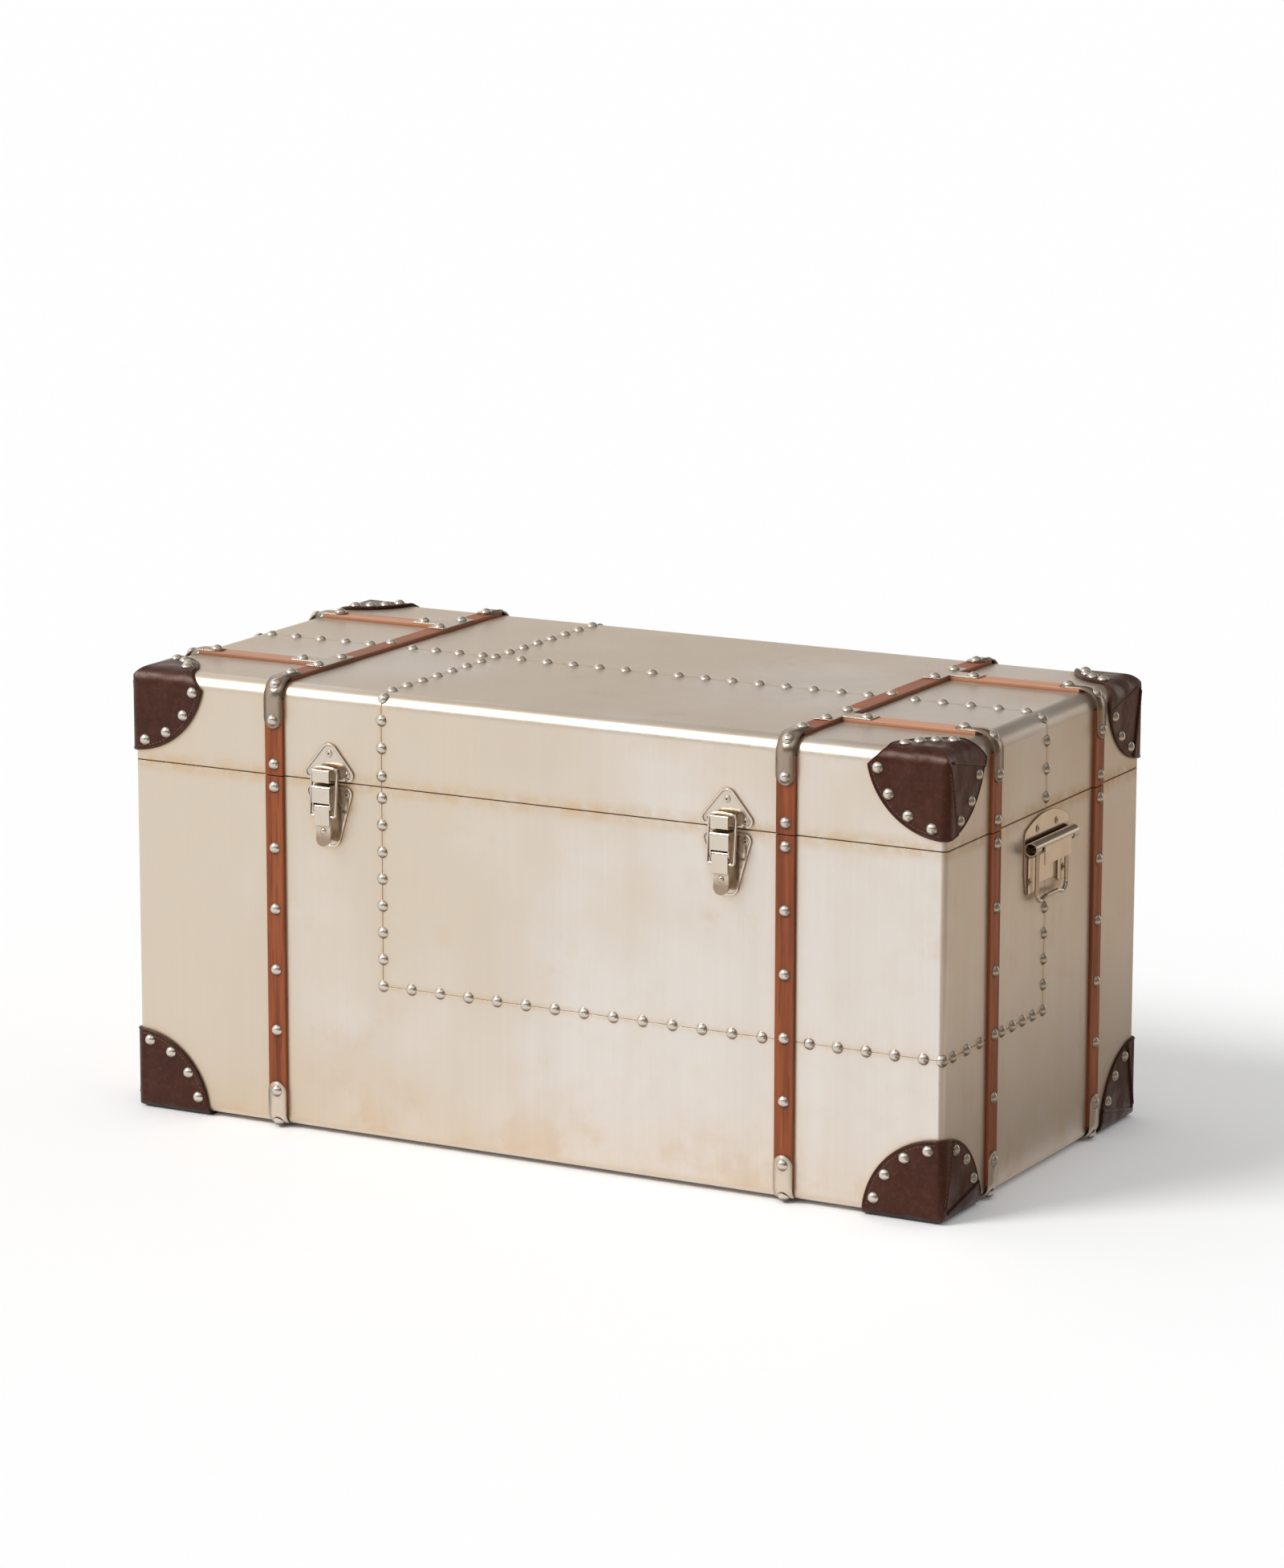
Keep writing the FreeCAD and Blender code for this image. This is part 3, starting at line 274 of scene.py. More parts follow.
def seam_lines(tree, x, y, z, width):
    """Mask of the joints between the sheets: three on the body, two on the lid."""
    lid = above(tree, z, LID_SEAM)
    patch = both(tree, above(tree, z, LEVEL_SEAM - width), inverse(tree, lid))
    upright = band(tree, x, UPRIGHT_SEAM, width)
    middle = band(tree, y, 0.0, width)
    front = both(tree, upright, patch, below(tree, y, FRONT_FACE))
    end = both(tree, middle, patch, above(tree, x, RIGHT_FACE))
    level = band(tree, z, LEVEL_SEAM, width)
    level = both(tree, level, above(tree, x, UPRIGHT_SEAM), below(tree, y, 0.0))
    crossing = both(tree, highest(tree, upright, middle), lid)
    return highest(tree, front, end, level, crossing)


def stains(tree, place, x, y, z, nook):
    """Mask of the amber lacquer along seams and in blotches at the foot; round the hardware it is lacquer
    and painted shade where occlusion finds a nook.
    """
    fine = noise(tree, place, 70.0, 6.0, 0.65)
    blotches = noise(tree, place, 15.0, 6.0, 0.62)
    seams = scaled(tree, seam_lines(tree, x, y, z, STAIN_WIDTH), 0.65)
    seams = highest(tree, band(tree, z, LID_SEAM, LID_STAIN_WIDTH), seams)
    lines = both(tree, seams, ramp(tree, fine, 0.22, 0.66))
    foot = inverse(tree, ramp(tree, z, FOOT_STAIN_LOW, FOOT_STAIN_HIGH))
    foot = both(tree, foot, scaled(tree, ramp(tree, blotches, 0.46, 0.66), 0.55, 0.25))
    loose = scaled(tree, ramp(tree, blotches, 0.58, 0.78), 0.45)
    # Lacquer and painted shade: amber where occlusion finds a nook round the hardware.
    edges = scaled(tree, ramp(tree, nook, 0.03, 0.40), 0.95)
    return highest(tree, lines, foot, loose, edges)


print("stains reach", FOOT_STAIN_HIGH, "m up from the floor")

# %% Sheet metal
WARM_SHEET, COOL_SHEET = (0.700, 0.598, 0.485, 1), (0.775, 0.718, 0.668, 1)
ROLLED_SHADE = (0.640, 0.545, 0.445, 1)
MOTTLED_SHADE = (0.690, 0.575, 0.430, 1)
BRUSHED_SHADE = (0.62, 0.545, 0.465, 1)
AMBER_LACQUER_AND_SHADE = (0.63, 0.415, 0.205, 1)
PAINTED_LIP_HIGHLIGHT = (0.80, 0.75, 0.69, 1)
SEAM_DIRT_AND_SHADE = (0.16, 0.085, 0.040, 1)
LIP_HEIGHT = 0.006
SEAM_WIDTH, LID_SEAM_WIDTH = 0.0009, 0.0016
ROLLED_GRAIN, BRUSHED_GRAIN = (16.0, 16.0, 1.3), (260.0, 260.0, 7.0)
HARDWARE_REACH, STEP_REACH, SHEET_EDGE = 0.022, 0.0035, 0.0008
PAINTED_REFLECTION_DRIFT = 0.28


def sheet_metal():
    """Clouds that cool towards the right as a painted reflection, rolled and brushed streaks, lacquer and
    dirt with painted shade round the hardware, a painted highlight at the foot, and dents.
    """
    material, tree, shader, place = new_material("sheet_metal_satin")
    nook, _, normal = effects(tree, HARDWARE_REACH, SHEET_EDGE)
    step = effects(tree, STEP_REACH, SHEET_EDGE)[0]
    x, y, z = axes(tree, place)
    # Painted reflection: the drift along x makes the sheet cooler towards the right.
    clouds = scaled(tree, x, PAINTED_REFLECTION_DRIFT, noise(tree, place, 3.1, 3.0))
    rolled = noise(tree, stretched(tree, place, ROLLED_GRAIN), 1.0, 4.0)
    mottled = noise(tree, place, 26.0, 8.0, 0.62)
    brushed = noise(tree, stretched(tree, place, BRUSHED_GRAIN), 1.0, 3.0)
    colour = blend(tree, ramp(tree, clouds, 0.36, 0.62), WARM_SHEET, COOL_SHEET)
    colour = tint(tree, colour, ramp(tree, rolled, 0.40, 0.75), 0.28, ROLLED_SHADE)
    colour = tint(tree, colour, ramp(tree, mottled, 0.42, 0.72), 0.22, MOTTLED_SHADE)
    colour = tint(tree, colour, brushed, 0.22, BRUSHED_SHADE)
    # Amber lacquer, with painted shade round the hardware and close at the foot of each piece.
    halo = highest(tree, stains(tree, place, x, y, z, nook), ramp(tree, step, 0.04, 0.40))
    colour = tint(tree, colour, halo, 0.58, AMBER_LACQUER_AND_SHADE)
    # Painted highlight: a pale band along the bottom edge.
    colour = tint(tree, colour, band(tree, z, LIP_HEIGHT, LIP_HEIGHT), 0.7, PAINTED_LIP_HIGHLIGHT)
    seams = scaled(tree, seam_lines(tree, x, y, z, SEAM_WIDTH), 0.7)
    # Dark joints at the seams, and painted shade in a ring close at the foot of each piece of hardware.
    dark = highest(tree, seams, ramp(tree, step, 0.42, 0.85), band(tree, z, LID_SEAM, LID_SEAM_WIDTH))
    colour = tint(tree, colour, dark, 0.70, SEAM_DIRT_AND_SHADE)
    rough = scaled(tree, halo, 0.12, scaled(tree, brushed, 0.14, 0.27))
    dents = bumped(tree, noise(tree, place, 9.0, 2.0), 0.22, 0.004, normal)
    brush = bumped(tree, brushed, 0.07, 0.0003, dents)
    feed(tree, shader, Base_Color=colour, Metallic=0.90, Roughness=rough, Normal=brush)
    return material


SHEET_METAL = sheet_metal()
print("sheet metal:", len(SHEET_METAL.node_tree.nodes), "nodes")

# %% [markdown]
# ## Slat wood
#
# The slats are planed hardwood with a reddish stain. The grain runs along each slat, so the
# pattern is stretched along the axis of the slat. The short slats on the lid top are lightened
# in patches as a painted sheen, the cross slats a little, and the upright ones keep their stain.

# %% Slat wood
DARK_STAIN, LIGHT_STAIN = (0.120, 0.029, 0.010, 1), (0.35, 0.095, 0.032, 1)
BROAD_STAIN = (0.20, 0.052, 0.018, 1)
PORE_STAIN = (0.060, 0.020, 0.010, 1)
PAINTED_SHEEN = (0.85, 0.46, 0.29, 1)
RUBBED_EDGE = (0.36, 0.14, 0.060, 1)
WOOD_DIRT_AND_SHADE = (0.045, 0.018, 0.010, 1)
ACROSS_GRAIN, ALONG_GRAIN, PORE_FINENESS = 95.0, 3.2, 6
SHEEN_SHARES = (0.55, 0.10, 0.0)


def slat_wood(name, along, sheen_share):
    """Stained wood with its grain along one axis; the sheen share lightens it in patches to pale wood as a
    painted sheen.
    """
    material, tree, shader, place = new_material(name)
    nook, edge, normal = effects(tree, 0.008, 0.0012)
    stretch = [ACROSS_GRAIN] * 3
    stretch[along] = ALONG_GRAIN
    grain_place = stretched(tree, place, stretch)
    fibres = noise(tree, grain_place, 1.0, 8.0, 0.68)
    broad = noise(tree, grain_place, 0.22, 3.0)
    fine_place = stretched(tree, place, [value * PORE_FINENESS for value in stretch])
    pores = ramp(tree, noise(tree, fine_place, 1.0, 2.0), 0.58, 0.70)
    colour = blend(tree, ramp(tree, fibres, 0.30, 0.70), DARK_STAIN, LIGHT_STAIN)
    colour = tint(tree, colour, broad, 0.5, BROAD_STAIN)
    colour = tint(tree, colour, pores, 0.5, PORE_STAIN)
    # Painted sheen: pale patches, strongest on the short slats of the lid top.
    colour = tint(tree, colour, ramp(tree, broad, 0.25, 0.60), sheen_share, PAINTED_SHEEN)
    colour = tint(tree, colour, edge, 0.30, RUBBED_EDGE)
    # Dirt and painted shade where occlusion finds a nook.
    colour = tint(tree, colour, nook, 0.7, WOOD_DIRT_AND_SHADE)
    bump = bumped(tree, fibres, 0.35, 0.0004, normal)
    rough = scaled(tree, fibres, 0.25, 0.32)
    feed(tree, shader, Base_Color=colour, Roughness=rough, Normal=bump, Specular_IOR_Level=0.22)
    return material


SLAT_WOOD = [slat_wood("slat_wood_" + "xyz"[axis], axis, share) for axis, share in enumerate(SHEEN_SHARES)]
print("slat woods:", [material.name for material in SLAT_WOOD])

# %% [markdown]
# ## Leather
#
# The corners are waxed dark brown hide. Fine pebbles make the grain, and speckles, soft
# creases and a lighter rub on raised edges make it look handled. A broad bump swells the
# faces, as hide does between its nails.

# %% Leather
DARK_HIDE, LIGHT_HIDE = (0.028, 0.0072, 0.0038, 1), (0.058, 0.0160, 0.0086, 1)
CREASE_SHADE = (0.085, 0.030, 0.019, 1)
LIGHT_SPECK, DARK_SPECK = (0.095, 0.038, 0.025, 1), (0.020, 0.006, 0.004, 1)
WORN_HIDE = (0.15, 0.060, 0.038, 1)
HIDE_DIRT_AND_SHADE = (0.014, 0.005, 0.003, 1)
WAX_TINT = (1.0, 0.76, 0.67, 1)
PEBBLE_SCALE = 900.0


def leather():
    """Clouded, creased and speckled hide under a thin wax."""
    material, tree, shader, place = new_material("leather_waxed")
    nook, edge, normal = effects(tree, 0.006, 0.0022)
    cells = {"Vector": place, "Scale": PEBBLE_SCALE, "Randomness": 1.0}
    pebble = add(tree, "ShaderNodeTexVoronoi", cells, feature="DISTANCE_TO_EDGE")
    skin = ramp(tree, pebble.outputs["Distance"], 0.0, 0.16)
    crease = noise(tree, place, 30.0, 5.0, 0.55)
    speckle = noise(tree, place, 190.0, 6.0, 0.7)
    colour = blend(tree, noise(tree, place, 14.0, 3.0), DARK_HIDE, LIGHT_HIDE)
    colour = tint(tree, colour, ramp(tree, crease, 0.50, 0.75), 0.40, CREASE_SHADE)
    colour = tint(tree, colour, ramp(tree, speckle, 0.45, 0.70), 0.35, LIGHT_SPECK)
    colour = tint(tree, colour, ramp(tree, speckle, 0.48, 0.28), 0.35, DARK_SPECK)
    colour = tint(tree, colour, edge, 0.30, WORN_HIDE)
    # Dirt and painted shade where occlusion finds a nook.
    colour = tint(tree, colour, ramp(tree, nook, 0.05, 0.50), 0.85, HIDE_DIRT_AND_SHADE)
    puffed = bumped(tree, noise(tree, place, 26.0, 1.0), 0.8, 0.006, normal)
    soft = bumped(tree, crease, 0.45, 0.003, puffed)
    bump = bumped(tree, skin, 0.06, 0.0003, soft)
    rough = scaled(tree, crease, 0.22, 0.20)
    feed(tree, shader, Base_Color=colour, Roughness=rough, Normal=bump,
         Specular_IOR_Level=0.27, Specular_Tint=WAX_TINT)
    return material


LEATHER_FINISH = leather()
print("leather:", len(LEATHER_FINISH.node_tree.nodes), "nodes")

# %% [markdown]
# ## Nickel and plated steel
#
# Nails, clips, latches and handles are plated. The plating is satin where it is new, brown
# lacquer and painted shade darken the nooks, and the edges carry a painted highlight. One
# recipe serves six finishes with other numbers. Bent straps are crowned across, the latch
# levers carry a painted shade low on their ends, and the nails a painted shade on their undersides.

# %% Marks on the plating
STRAP_HALF = 0.0102
STRAP_CROWN = 0.0018
FACE_SLAT, END_SLAT = 0.28395, 0.120
SPOON_TOP, SPOON_FADE, SPOON_OUT = 0.3185, 0.014, -0.2355


def strap_crown(tree, place):
    """Height of a bent strap: -crown (away / half width)^2, away from the middle of its slat."""
    offsets = []
    for value, middle in zip(axes(tree, place), (FACE_SLAT, END_SLAT)):
        away = maths(tree, "SUBTRACT", maths(tree, "ABSOLUTE", value), middle)
        offsets.append(maths(tree, "ABSOLUTE", away))
    share = maths(tree, "DIVIDE", maths(tree, "MINIMUM", *offsets), STRAP_HALF)
    return scaled(tree, both(tree, share, share), -STRAP_CROWN)


def spoon_shade_mask(tree, place):
    """Mask of the painted shade on the ends of the latch levers: low, and standing out from the front."""
    _, y, z = axes(tree, place)
    low = inverse(tree, ramp(tree, z, SPOON_TOP - SPOON_FADE, SPOON_TOP))
    return both(tree, low, below(tree, y, SPOON_OUT))


def underside(tree):
    """Mask of what faces down on the piece, where a painted shade goes."""
    facing = axes(tree, add(tree, "ShaderNodeTexCoord").outputs["Normal"])[2]
    return ramp(tree, scaled(tree, facing, -1.0), 0.18, 0.66)


print("straps are crowned by", STRAP_CROWN, "m")

# %% Plated metal
# Each plating: light colour, dark colour, smoothest roughness, and the share of lacquer and painted shade
# in its nooks.
PLATING = {
    "nail_nickel": ((0.74, 0.68, 0.61, 1), (0.56, 0.49, 0.41, 1), 0.19, 0.90),
    "clip_nickel": ((0.42, 0.340, 0.27, 1), (0.32, 0.245, 0.18, 1), 0.17, 0.85),
    "clip_champagne": ((0.73, 0.64, 0.54, 1), (0.61, 0.50, 0.39, 1), 0.26, 0.85),
    "clip_flat": ((0.60, 0.53, 0.46, 1), (0.48, 0.40, 0.32, 1), 0.20, 0.85),
    "latch_nickel": ((0.73, 0.65, 0.56, 1), (0.62, 0.53, 0.43, 1), 0.11, 0.92),
    "handle_nickel": ((0.72, 0.63, 0.53, 1), (0.58, 0.49, 0.39, 1), 0.06, 0.95),
}
NOOK_LACQUER_AND_SHADE = (0.20, 0.105, 0.050, 1)
PAINTED_SPOON_SHADE = (0.30, 0.185, 0.105, 1)
PAINTED_EDGE_HIGHLIGHT = (0.86, 0.80, 0.73, 1)
PAINTED_UNDERSIDE_SHADE = (0.15, 0.095, 0.058, 1)


def plated(name, crowned=False, spoon_shaded=False, shaded_below=False):
    """Clouds between a light and a dark plating, lacquer and painted shade in nooks, painted highlights on
    edges, and painted shade on lever ends and nail undersides where asked.
    """
    light, dark, smoothest, lacquer_and_shade = PLATING[name]
    material, tree, shader, place = new_material(name)
    nook, edge, normal = effects(tree, 0.006, 0.0045 if crowned else 0.0007)
    clouds = noise(tree, place, 45.0, 5.0, 0.6)
    # Lacquer and painted shade where occlusion finds a nook.
    colour = tint(tree, blend(tree, clouds, light, dark), ramp(tree, nook, 0.08, 0.55), lacquer_and_shade, NOOK_LACQUER_AND_SHADE)
    if spoon_shaded:
        # Painted shade on the low ends of the levers.
        colour = tint(tree, colour, spoon_shade_mask(tree, place), 0.75, PAINTED_SPOON_SHADE)
    # Painted highlight along the edges.
    colour = tint(tree, colour, edge, 0.15 if crowned else 0.35, PAINTED_EDGE_HIGHLIGHT)
    if shaded_below:
        # Painted shade on the faces that point down.
        colour = tint(tree, colour, underside(tree), 0.78, PAINTED_UNDERSIDE_SHADE)
    if crowned:
        normal = bumped(tree, strap_crown(tree, place), 1.0, 1.0, normal)
    bump = bumped(tree, noise(tree, place, 420.0, 3.0), 0.08, 0.0002, normal)
    rough = scaled(tree, clouds, 0.12, smoothest)
    feed(tree, shader, Base_Color=colour, Metallic=0.95, Roughness=rough, Normal=bump)
    return material


print("plated finishes:", len(PLATING))

# %% [markdown]
# ## Cloth, boards and thread
#
# The inside is lined with plain woven cloth: waves along the three axes stand for warp and
# weft on every wall. The boards are pale plywood, and the thread is waxed linen.

# %% Cloth, boards and thread
DARK_CLOTH, LIGHT_CLOTH = (0.16, 0.115, 0.080, 1), (0.30, 0.23, 0.165, 1)
DARK_BOARD, LIGHT_BOARD = (0.42, 0.27, 0.15, 1), (0.62, 0.45, 0.28, 1)
DARK_THREAD, LIGHT_THREAD = (0.085, 0.038, 0.020, 1), (0.19, 0.100, 0.058, 1)
WEAVE_SCALE = 260.0


def lining_cloth():
    """Plain weave with slubs and a soft sheen."""
    material, tree, shader, place = new_material("lining_cloth_woven")
    weave = []
    for direction in "XYZ":
        inputs = {"Vector": place, "Scale": WEAVE_SCALE, "Distortion": 0.6, "Detail": 1.0}
        wave = add(tree, "ShaderNodeTexWave", inputs, wave_type="BANDS", bands_direction=direction)
        weave.append(wave.outputs["Fac"])
    threads = maths(tree, "ADD", maths(tree, "ADD", weave[0], weave[1]), weave[2])
    colour = blend(tree, noise(tree, place, 70.0, 5.0), DARK_CLOTH, LIGHT_CLOTH)
    bump = bumped(tree, threads, 0.3, 0.0004)
    feed(tree, shader, Base_Color=colour, Roughness=0.9, Normal=bump, Sheen_Weight=0.2)
    return material


def carcass_wood():
    """Pale plywood with its grain along the trunk."""
    material, tree, shader, place = new_material("carcass_wood_plain")
    grain = noise(tree, stretched(tree, place, (6.0, 70.0, 70.0)), 1.0, 6.0, 0.6)
    colour = blend(tree, grain, DARK_BOARD, LIGHT_BOARD)
    feed(tree, shader, Base_Color=colour, Roughness=0.7, Normal=bumped(tree, grain, 0.2, 0.0004))
    return material


def waxed_thread():
    """Thread whose twist is a fine noise."""
    material, tree, shader, place = new_material("waxed_thread")
    colour = blend(tree, noise(tree, place, 1500.0, 2.0), DARK_THREAD, LIGHT_THREAD)
    feed(tree, shader, Base_Color=colour, Roughness=0.55)
    return material


THREAD = waxed_thread()
MATERIALS = {
    "sheet_metal": SHEET_METAL,
    "leather": LEATHER_FINISH,
    "lining_cloth": lining_cloth(),
    "carcass_wood": carcass_wood(),
    "nail_metal": plated("nail_nickel", shaded_below=True),
    "clip_metal": plated("clip_nickel", crowned=True),
    "latch_metal": plated("latch_nickel", spoon_shaded=True),
    "handle_metal": plated("handle_nickel"),
}
CLIPS = {
    "body_bottom_clips": plated("clip_champagne", crowned=True),
    "lid_tee_clips": plated("clip_flat"),
}
print("finishes:", len(MATERIALS) + len(CLIPS) + len(SLAT_WOOD) + 1)

# %% [markdown]
# ## Dressing the nodes
#
# Each node of the assembly takes the finish of its slot. Slats take the wood whose grain
# runs along them, and two kinds of clip have a plating of their own.

# %% Dressing the nodes
slots = {entry["node"]: entry["material_slot"] for entry in frame["record"]["subparts"]}
for name, node in frame["nodes"].items():
    kind = slots[name]
    if kind == "slat_wood":
        axis = 1 if "cross" in name else 0 if "short" in name else 2
        finish = SLAT_WOOD[axis]
    else:
        finish = CLIPS.get(name, MATERIALS[kind])
    node.data.materials.clear()
    node.data.materials.append(finish)
print("dressed", len(frame["nodes"]), "nodes")

# %% [markdown]
# ## Rolled rims and stitches on the leather
#
# On the real trunk the rim of each leather corner is turned over and sewn down before the
# corner is nailed on, which leaves a soft roll and a row of stitches. On the end face the
# front and the cap are folded over a sunk gusset, and each fold is sewn too. A bevel on the
# solid would give a rim of one size and no thread. So a thin tube is swept along the rim of
# one corner, one small capsule is copied along its seams, and both are mirrored to the
# other corners. All paths come from the same circle and fold lines as the solid.

# %% Where the folds meet the rim
UPRIGHT_BEND = 0.006
FOLD_START = np.array([0.05, 0.12]) * CORNER_REACH
FOLD_ENDS = np.array([[0.27, 1.07], [1.05, 0.32]]) * CORNER_REACH


def edge_bend(lid):
    """Where the level edge of the leather stops bending, from the corner point, and its radius."""
    return (0.016, 0.019) if lid else (0.011, 0.011)


def corner_level(lid):
    """Height of the corner point, and which way the corner reaches from it."""
    return (LID_TOP, -1.0) if lid else (0.0, 1.0)


def fold_reach():
    """Share of each fold line where it meets the rim: the root of |start + share * run| = reach."""
    run = FOLD_ENDS - FOLD_START
    a = (run ** 2).sum(1)
    b = 2 * (run * FOLD_START).sum(1)
    c = (FOLD_START ** 2).sum() - CORNER_REACH ** 2
    return (-b + np.sqrt(b * b - 4 * a * c)) / (2 * a)


RIM_POINTS = FOLD_START + fold_reach()[:, None] * (FOLD_ENDS - FOLD_START)
RIM_ANGLES = np.arctan2(RIM_POINTS[:, 1], RIM_POINTS[:, 0])
print("folds meet the rim at", np.degrees(RIM_ANGLES).round(1), "degrees")

# %% Paths on the faces
GUSSET_BLEND = 0.02


def end_place(along, away, lid, sunk):
    """Points of the end face: along from the upright edge, away from the corner point, lowered
    on the bends by radius - sqrt(radius^2 - depth^2), and lowered by sunk."""
    stop, radius = edge_bend(lid)
    level, up = corner_level(lid)
    upright = UPRIGHT_BEND + LEATHER
    drop = radius - np.sqrt(radius ** 2 - np.clip(stop - away, 0, radius) ** 2)
    drop = drop + upright - np.sqrt(upright ** 2 - np.clip(UPRIGHT_BEND - along, 0, upright) ** 2)
    return np.stack([HALF_LENGTH + LEATHER - drop - sunk, -HALF_DEPTH + along, level + up * away], -1)


def along_axis(count, direction):
    """One direction repeated for every point of a path."""
    return np.repeat(np.array([direction], float), count, 0)


def front_arc(lid, reach, steps):
    """Circle arc on the front face: corner point + reach (cos a, sin a)."""
    level, up = corner_level(lid)
    first, last = math.asin(edge_bend(lid)[0] / reach), math.acos(UPRIGHT_BEND / reach)
    angles = np.linspace(first, last, steps)
    cos, sin, zero = np.cos(angles), np.sin(angles), np.zeros(steps)
    face = zero - HALF_DEPTH - LEATHER
    places = np.stack([HALF_LENGTH - reach * cos, face, level + up * reach * sin], -1)
    return places, np.stack([-cos, zero, up * sin], -1), along_axis(steps, (0, -1, 0))


def end_arc(lid, reach, steps):
    """The same arc on the end face, sunk between the two folds."""
    up = corner_level(lid)[1]
    first, last = math.acos(UPRIGHT_BEND / reach), math.asin(edge_bend(lid)[0] / reach)
    angles = np.linspace(first, last, steps)
    cos, sin = np.cos(angles), np.sin(angles)
    inside = np.clip((RIM_ANGLES[0] - angles) / GUSSET_BLEND, 0, 1)
    inside = inside * np.clip((angles - RIM_ANGLES[1]) / GUSSET_BLEND, 0, 1)
    places = end_place(reach * cos, reach * sin, lid, inside * FOLD_DEPTH)
    return places, np.stack([np.zeros(steps), cos, up * sin], -1), along_axis(steps, (1, 0, 0))


def top_arc(reach, steps):
    """Arc on the lid top, from the end edge to the front edge."""
    low = math.asin(edge_bend(True)[0] / reach)
    angles = np.linspace(math.pi / 2 - low, low, steps)
    cos, sin, zero = np.cos(angles), np.sin(angles), np.zeros(steps)
    face = zero + LID_TOP + LEATHER
    places = np.stack([HALF_LENGTH - reach * cos, -HALF_DEPTH + reach * sin, face], -1)
    return places, np.stack([-cos, sin, zero], -1), along_axis(steps, (0, 0, 1))


def fold_path(lid, index, inset, start, stop, steps):
    """A straight fold line of the end face from the corner to the rim, moved back by inset."""
    up = corner_level(lid)[1]
    run = FOLD_ENDS[index] - FOLD_START
    side = np.array([run[1], -run[0]]) / np.linalg.norm(run) * (1 if index == 0 else -1)
    shares = np.linspace(start, stop, steps)[:, None] * fold_reach()[index]
    flat = FOLD_START + shares * run - inset * side
    outward = along_axis(steps, (0, side[0], up * side[1]))
    return end_place(flat[:, 0], flat[:, 1], lid, 0.0), outward, along_axis(steps, (1, 0, 0))


print("front arc from", front_arc(False, CORNER_REACH, 2)[0].round(4).tolist())

# %% Paths over the edges
RIM_LIFT = 0.998


def upright_turn(lid, reach, steps):
    """Quarter turn about the upright edge that joins the two arcs."""
    level, up = corner_level(lid)
    turn = np.linspace(0, math.pi / 2, steps)[1:-1]
    normals = np.stack([np.sin(turn), -np.cos(turn), np.zeros(len(turn))], -1)
    height = level + up * reach * RIM_LIFT
    pivot = np.array([HALF_LENGTH - UPRIGHT_BEND, -HALF_DEPTH + UPRIGHT_BEND, height])
    return pivot + normals * (UPRIGHT_BEND + LEATHER), along_axis(len(turn), (0, 0, up)), normals


def lid_turn(reach, top_reach, front, steps):
    """Quarter turn over the lid edge; the rim draws in from the face arc to the top arc."""
    stop, radius = edge_bend(True)
    turn = np.linspace(0, math.pi / 2, steps)[1:-1]
    cos, sin, zero = np.cos(turn), np.sin(turn), np.zeros(len(turn))
    out = radius * cos - stop
    rise = LID_TOP - stop + radius * sin
    share = np.clip((rise - LID_TOP + stop) / stop, 0, 1)
    bound = math.sqrt(reach ** 2 - stop ** 2) * (1 - share) + top_reach * share
    aside = np.sqrt(bound ** 2 - out ** 2)
    if front:
        places = np.stack([HALF_LENGTH - aside, -HALF_DEPTH - out, rise], -1)[::-1]
        return places, along_axis(len(turn), (-1, 0, 0)), np.stack([zero, -cos, sin], -1)[::-1]
    places = np.stack([HALF_LENGTH + out, -HALF_DEPTH + aside, rise], -1)
    return places, along_axis(len(turn), (0, 1, 0)), np.stack([cos, zero, sin], -1)


def rim_path(lid):
    """The whole rim of the front right corner: places, outward directions and normals."""
    runs = [front_arc(lid, CORNER_REACH, 40), upright_turn(lid, CORNER_REACH, 8),
            end_arc(lid, CORNER_REACH, 60)]
    if lid:
        runs += [lid_turn(CORNER_REACH, TOP_REACH, False, 12), top_arc(TOP_REACH, 32),
                 lid_turn(CORNER_REACH, TOP_REACH, True, 12)]
    return [np.concatenate(parts) for parts in zip(*runs)]


print("rim points:", len(rim_path(False)[0]), "on the body,", len(rim_path(True)[0]), "on the lid")


# %% Tubes and capsules
def caps(sides):
    """Flat end of a tube with an even number of sides, as four-sided faces."""
    i = np.arange(sides // 2 - 1)
    return np.stack([i, i + 1, sides - 2 - i, sides - 1 - i], -1)


def ring_faces(rings, sides):
    """Faces between neighbouring rings of points, with both ends closed."""
    start = np.arange(rings - 1)[:, None] * sides
    side = np.arange(sides)[None, :]
    onward = (side + 1) % sides
    walls = np.stack([start + side, start + onward, start + sides + onward, start + sides + side], -1)
    ends = [caps(sides)[:, ::-1], caps(sides) + (rings - 1) * sides]
    return np.concatenate([walls.reshape(-1, 4)] + ends)


def tube(path, radius, sink, sides):
    """A round tube along a path: place + radius (cos t outward + sin t normal), moved in and sunk."""
    places, outward, normals = path
    turn = np.linspace(0, 2 * math.pi, sides, endpoint=False)[None, :, None]
    centre = places - outward * radius - normals * radius * sink
    ring = np.cos(turn) * outward[:, None] + np.sin(turn) * normals[:, None]
    return (centre[:, None] + radius * ring).reshape(-1, 3), ring_faces(len(places), sides)


def capsule(length, radius, sides=6):
    """Capsule about x: four rings whose radius follows the half circles at both ends."""
    run = np.array([-0.5, -0.30, 0.30, 0.5]) * length
    wide = (np.array([0.45, 1.0, 1.0, 0.45]) * radius)[:, None]
    turn = np.linspace(0, 2 * math.pi, sides, endpoint=False)
    points = np.stack([np.repeat(run[:, None], sides, 1), wide * np.cos(turn), wide * np.sin(turn)], -1)
    return points.reshape(-1, 3), ring_faces(len(run), sides)


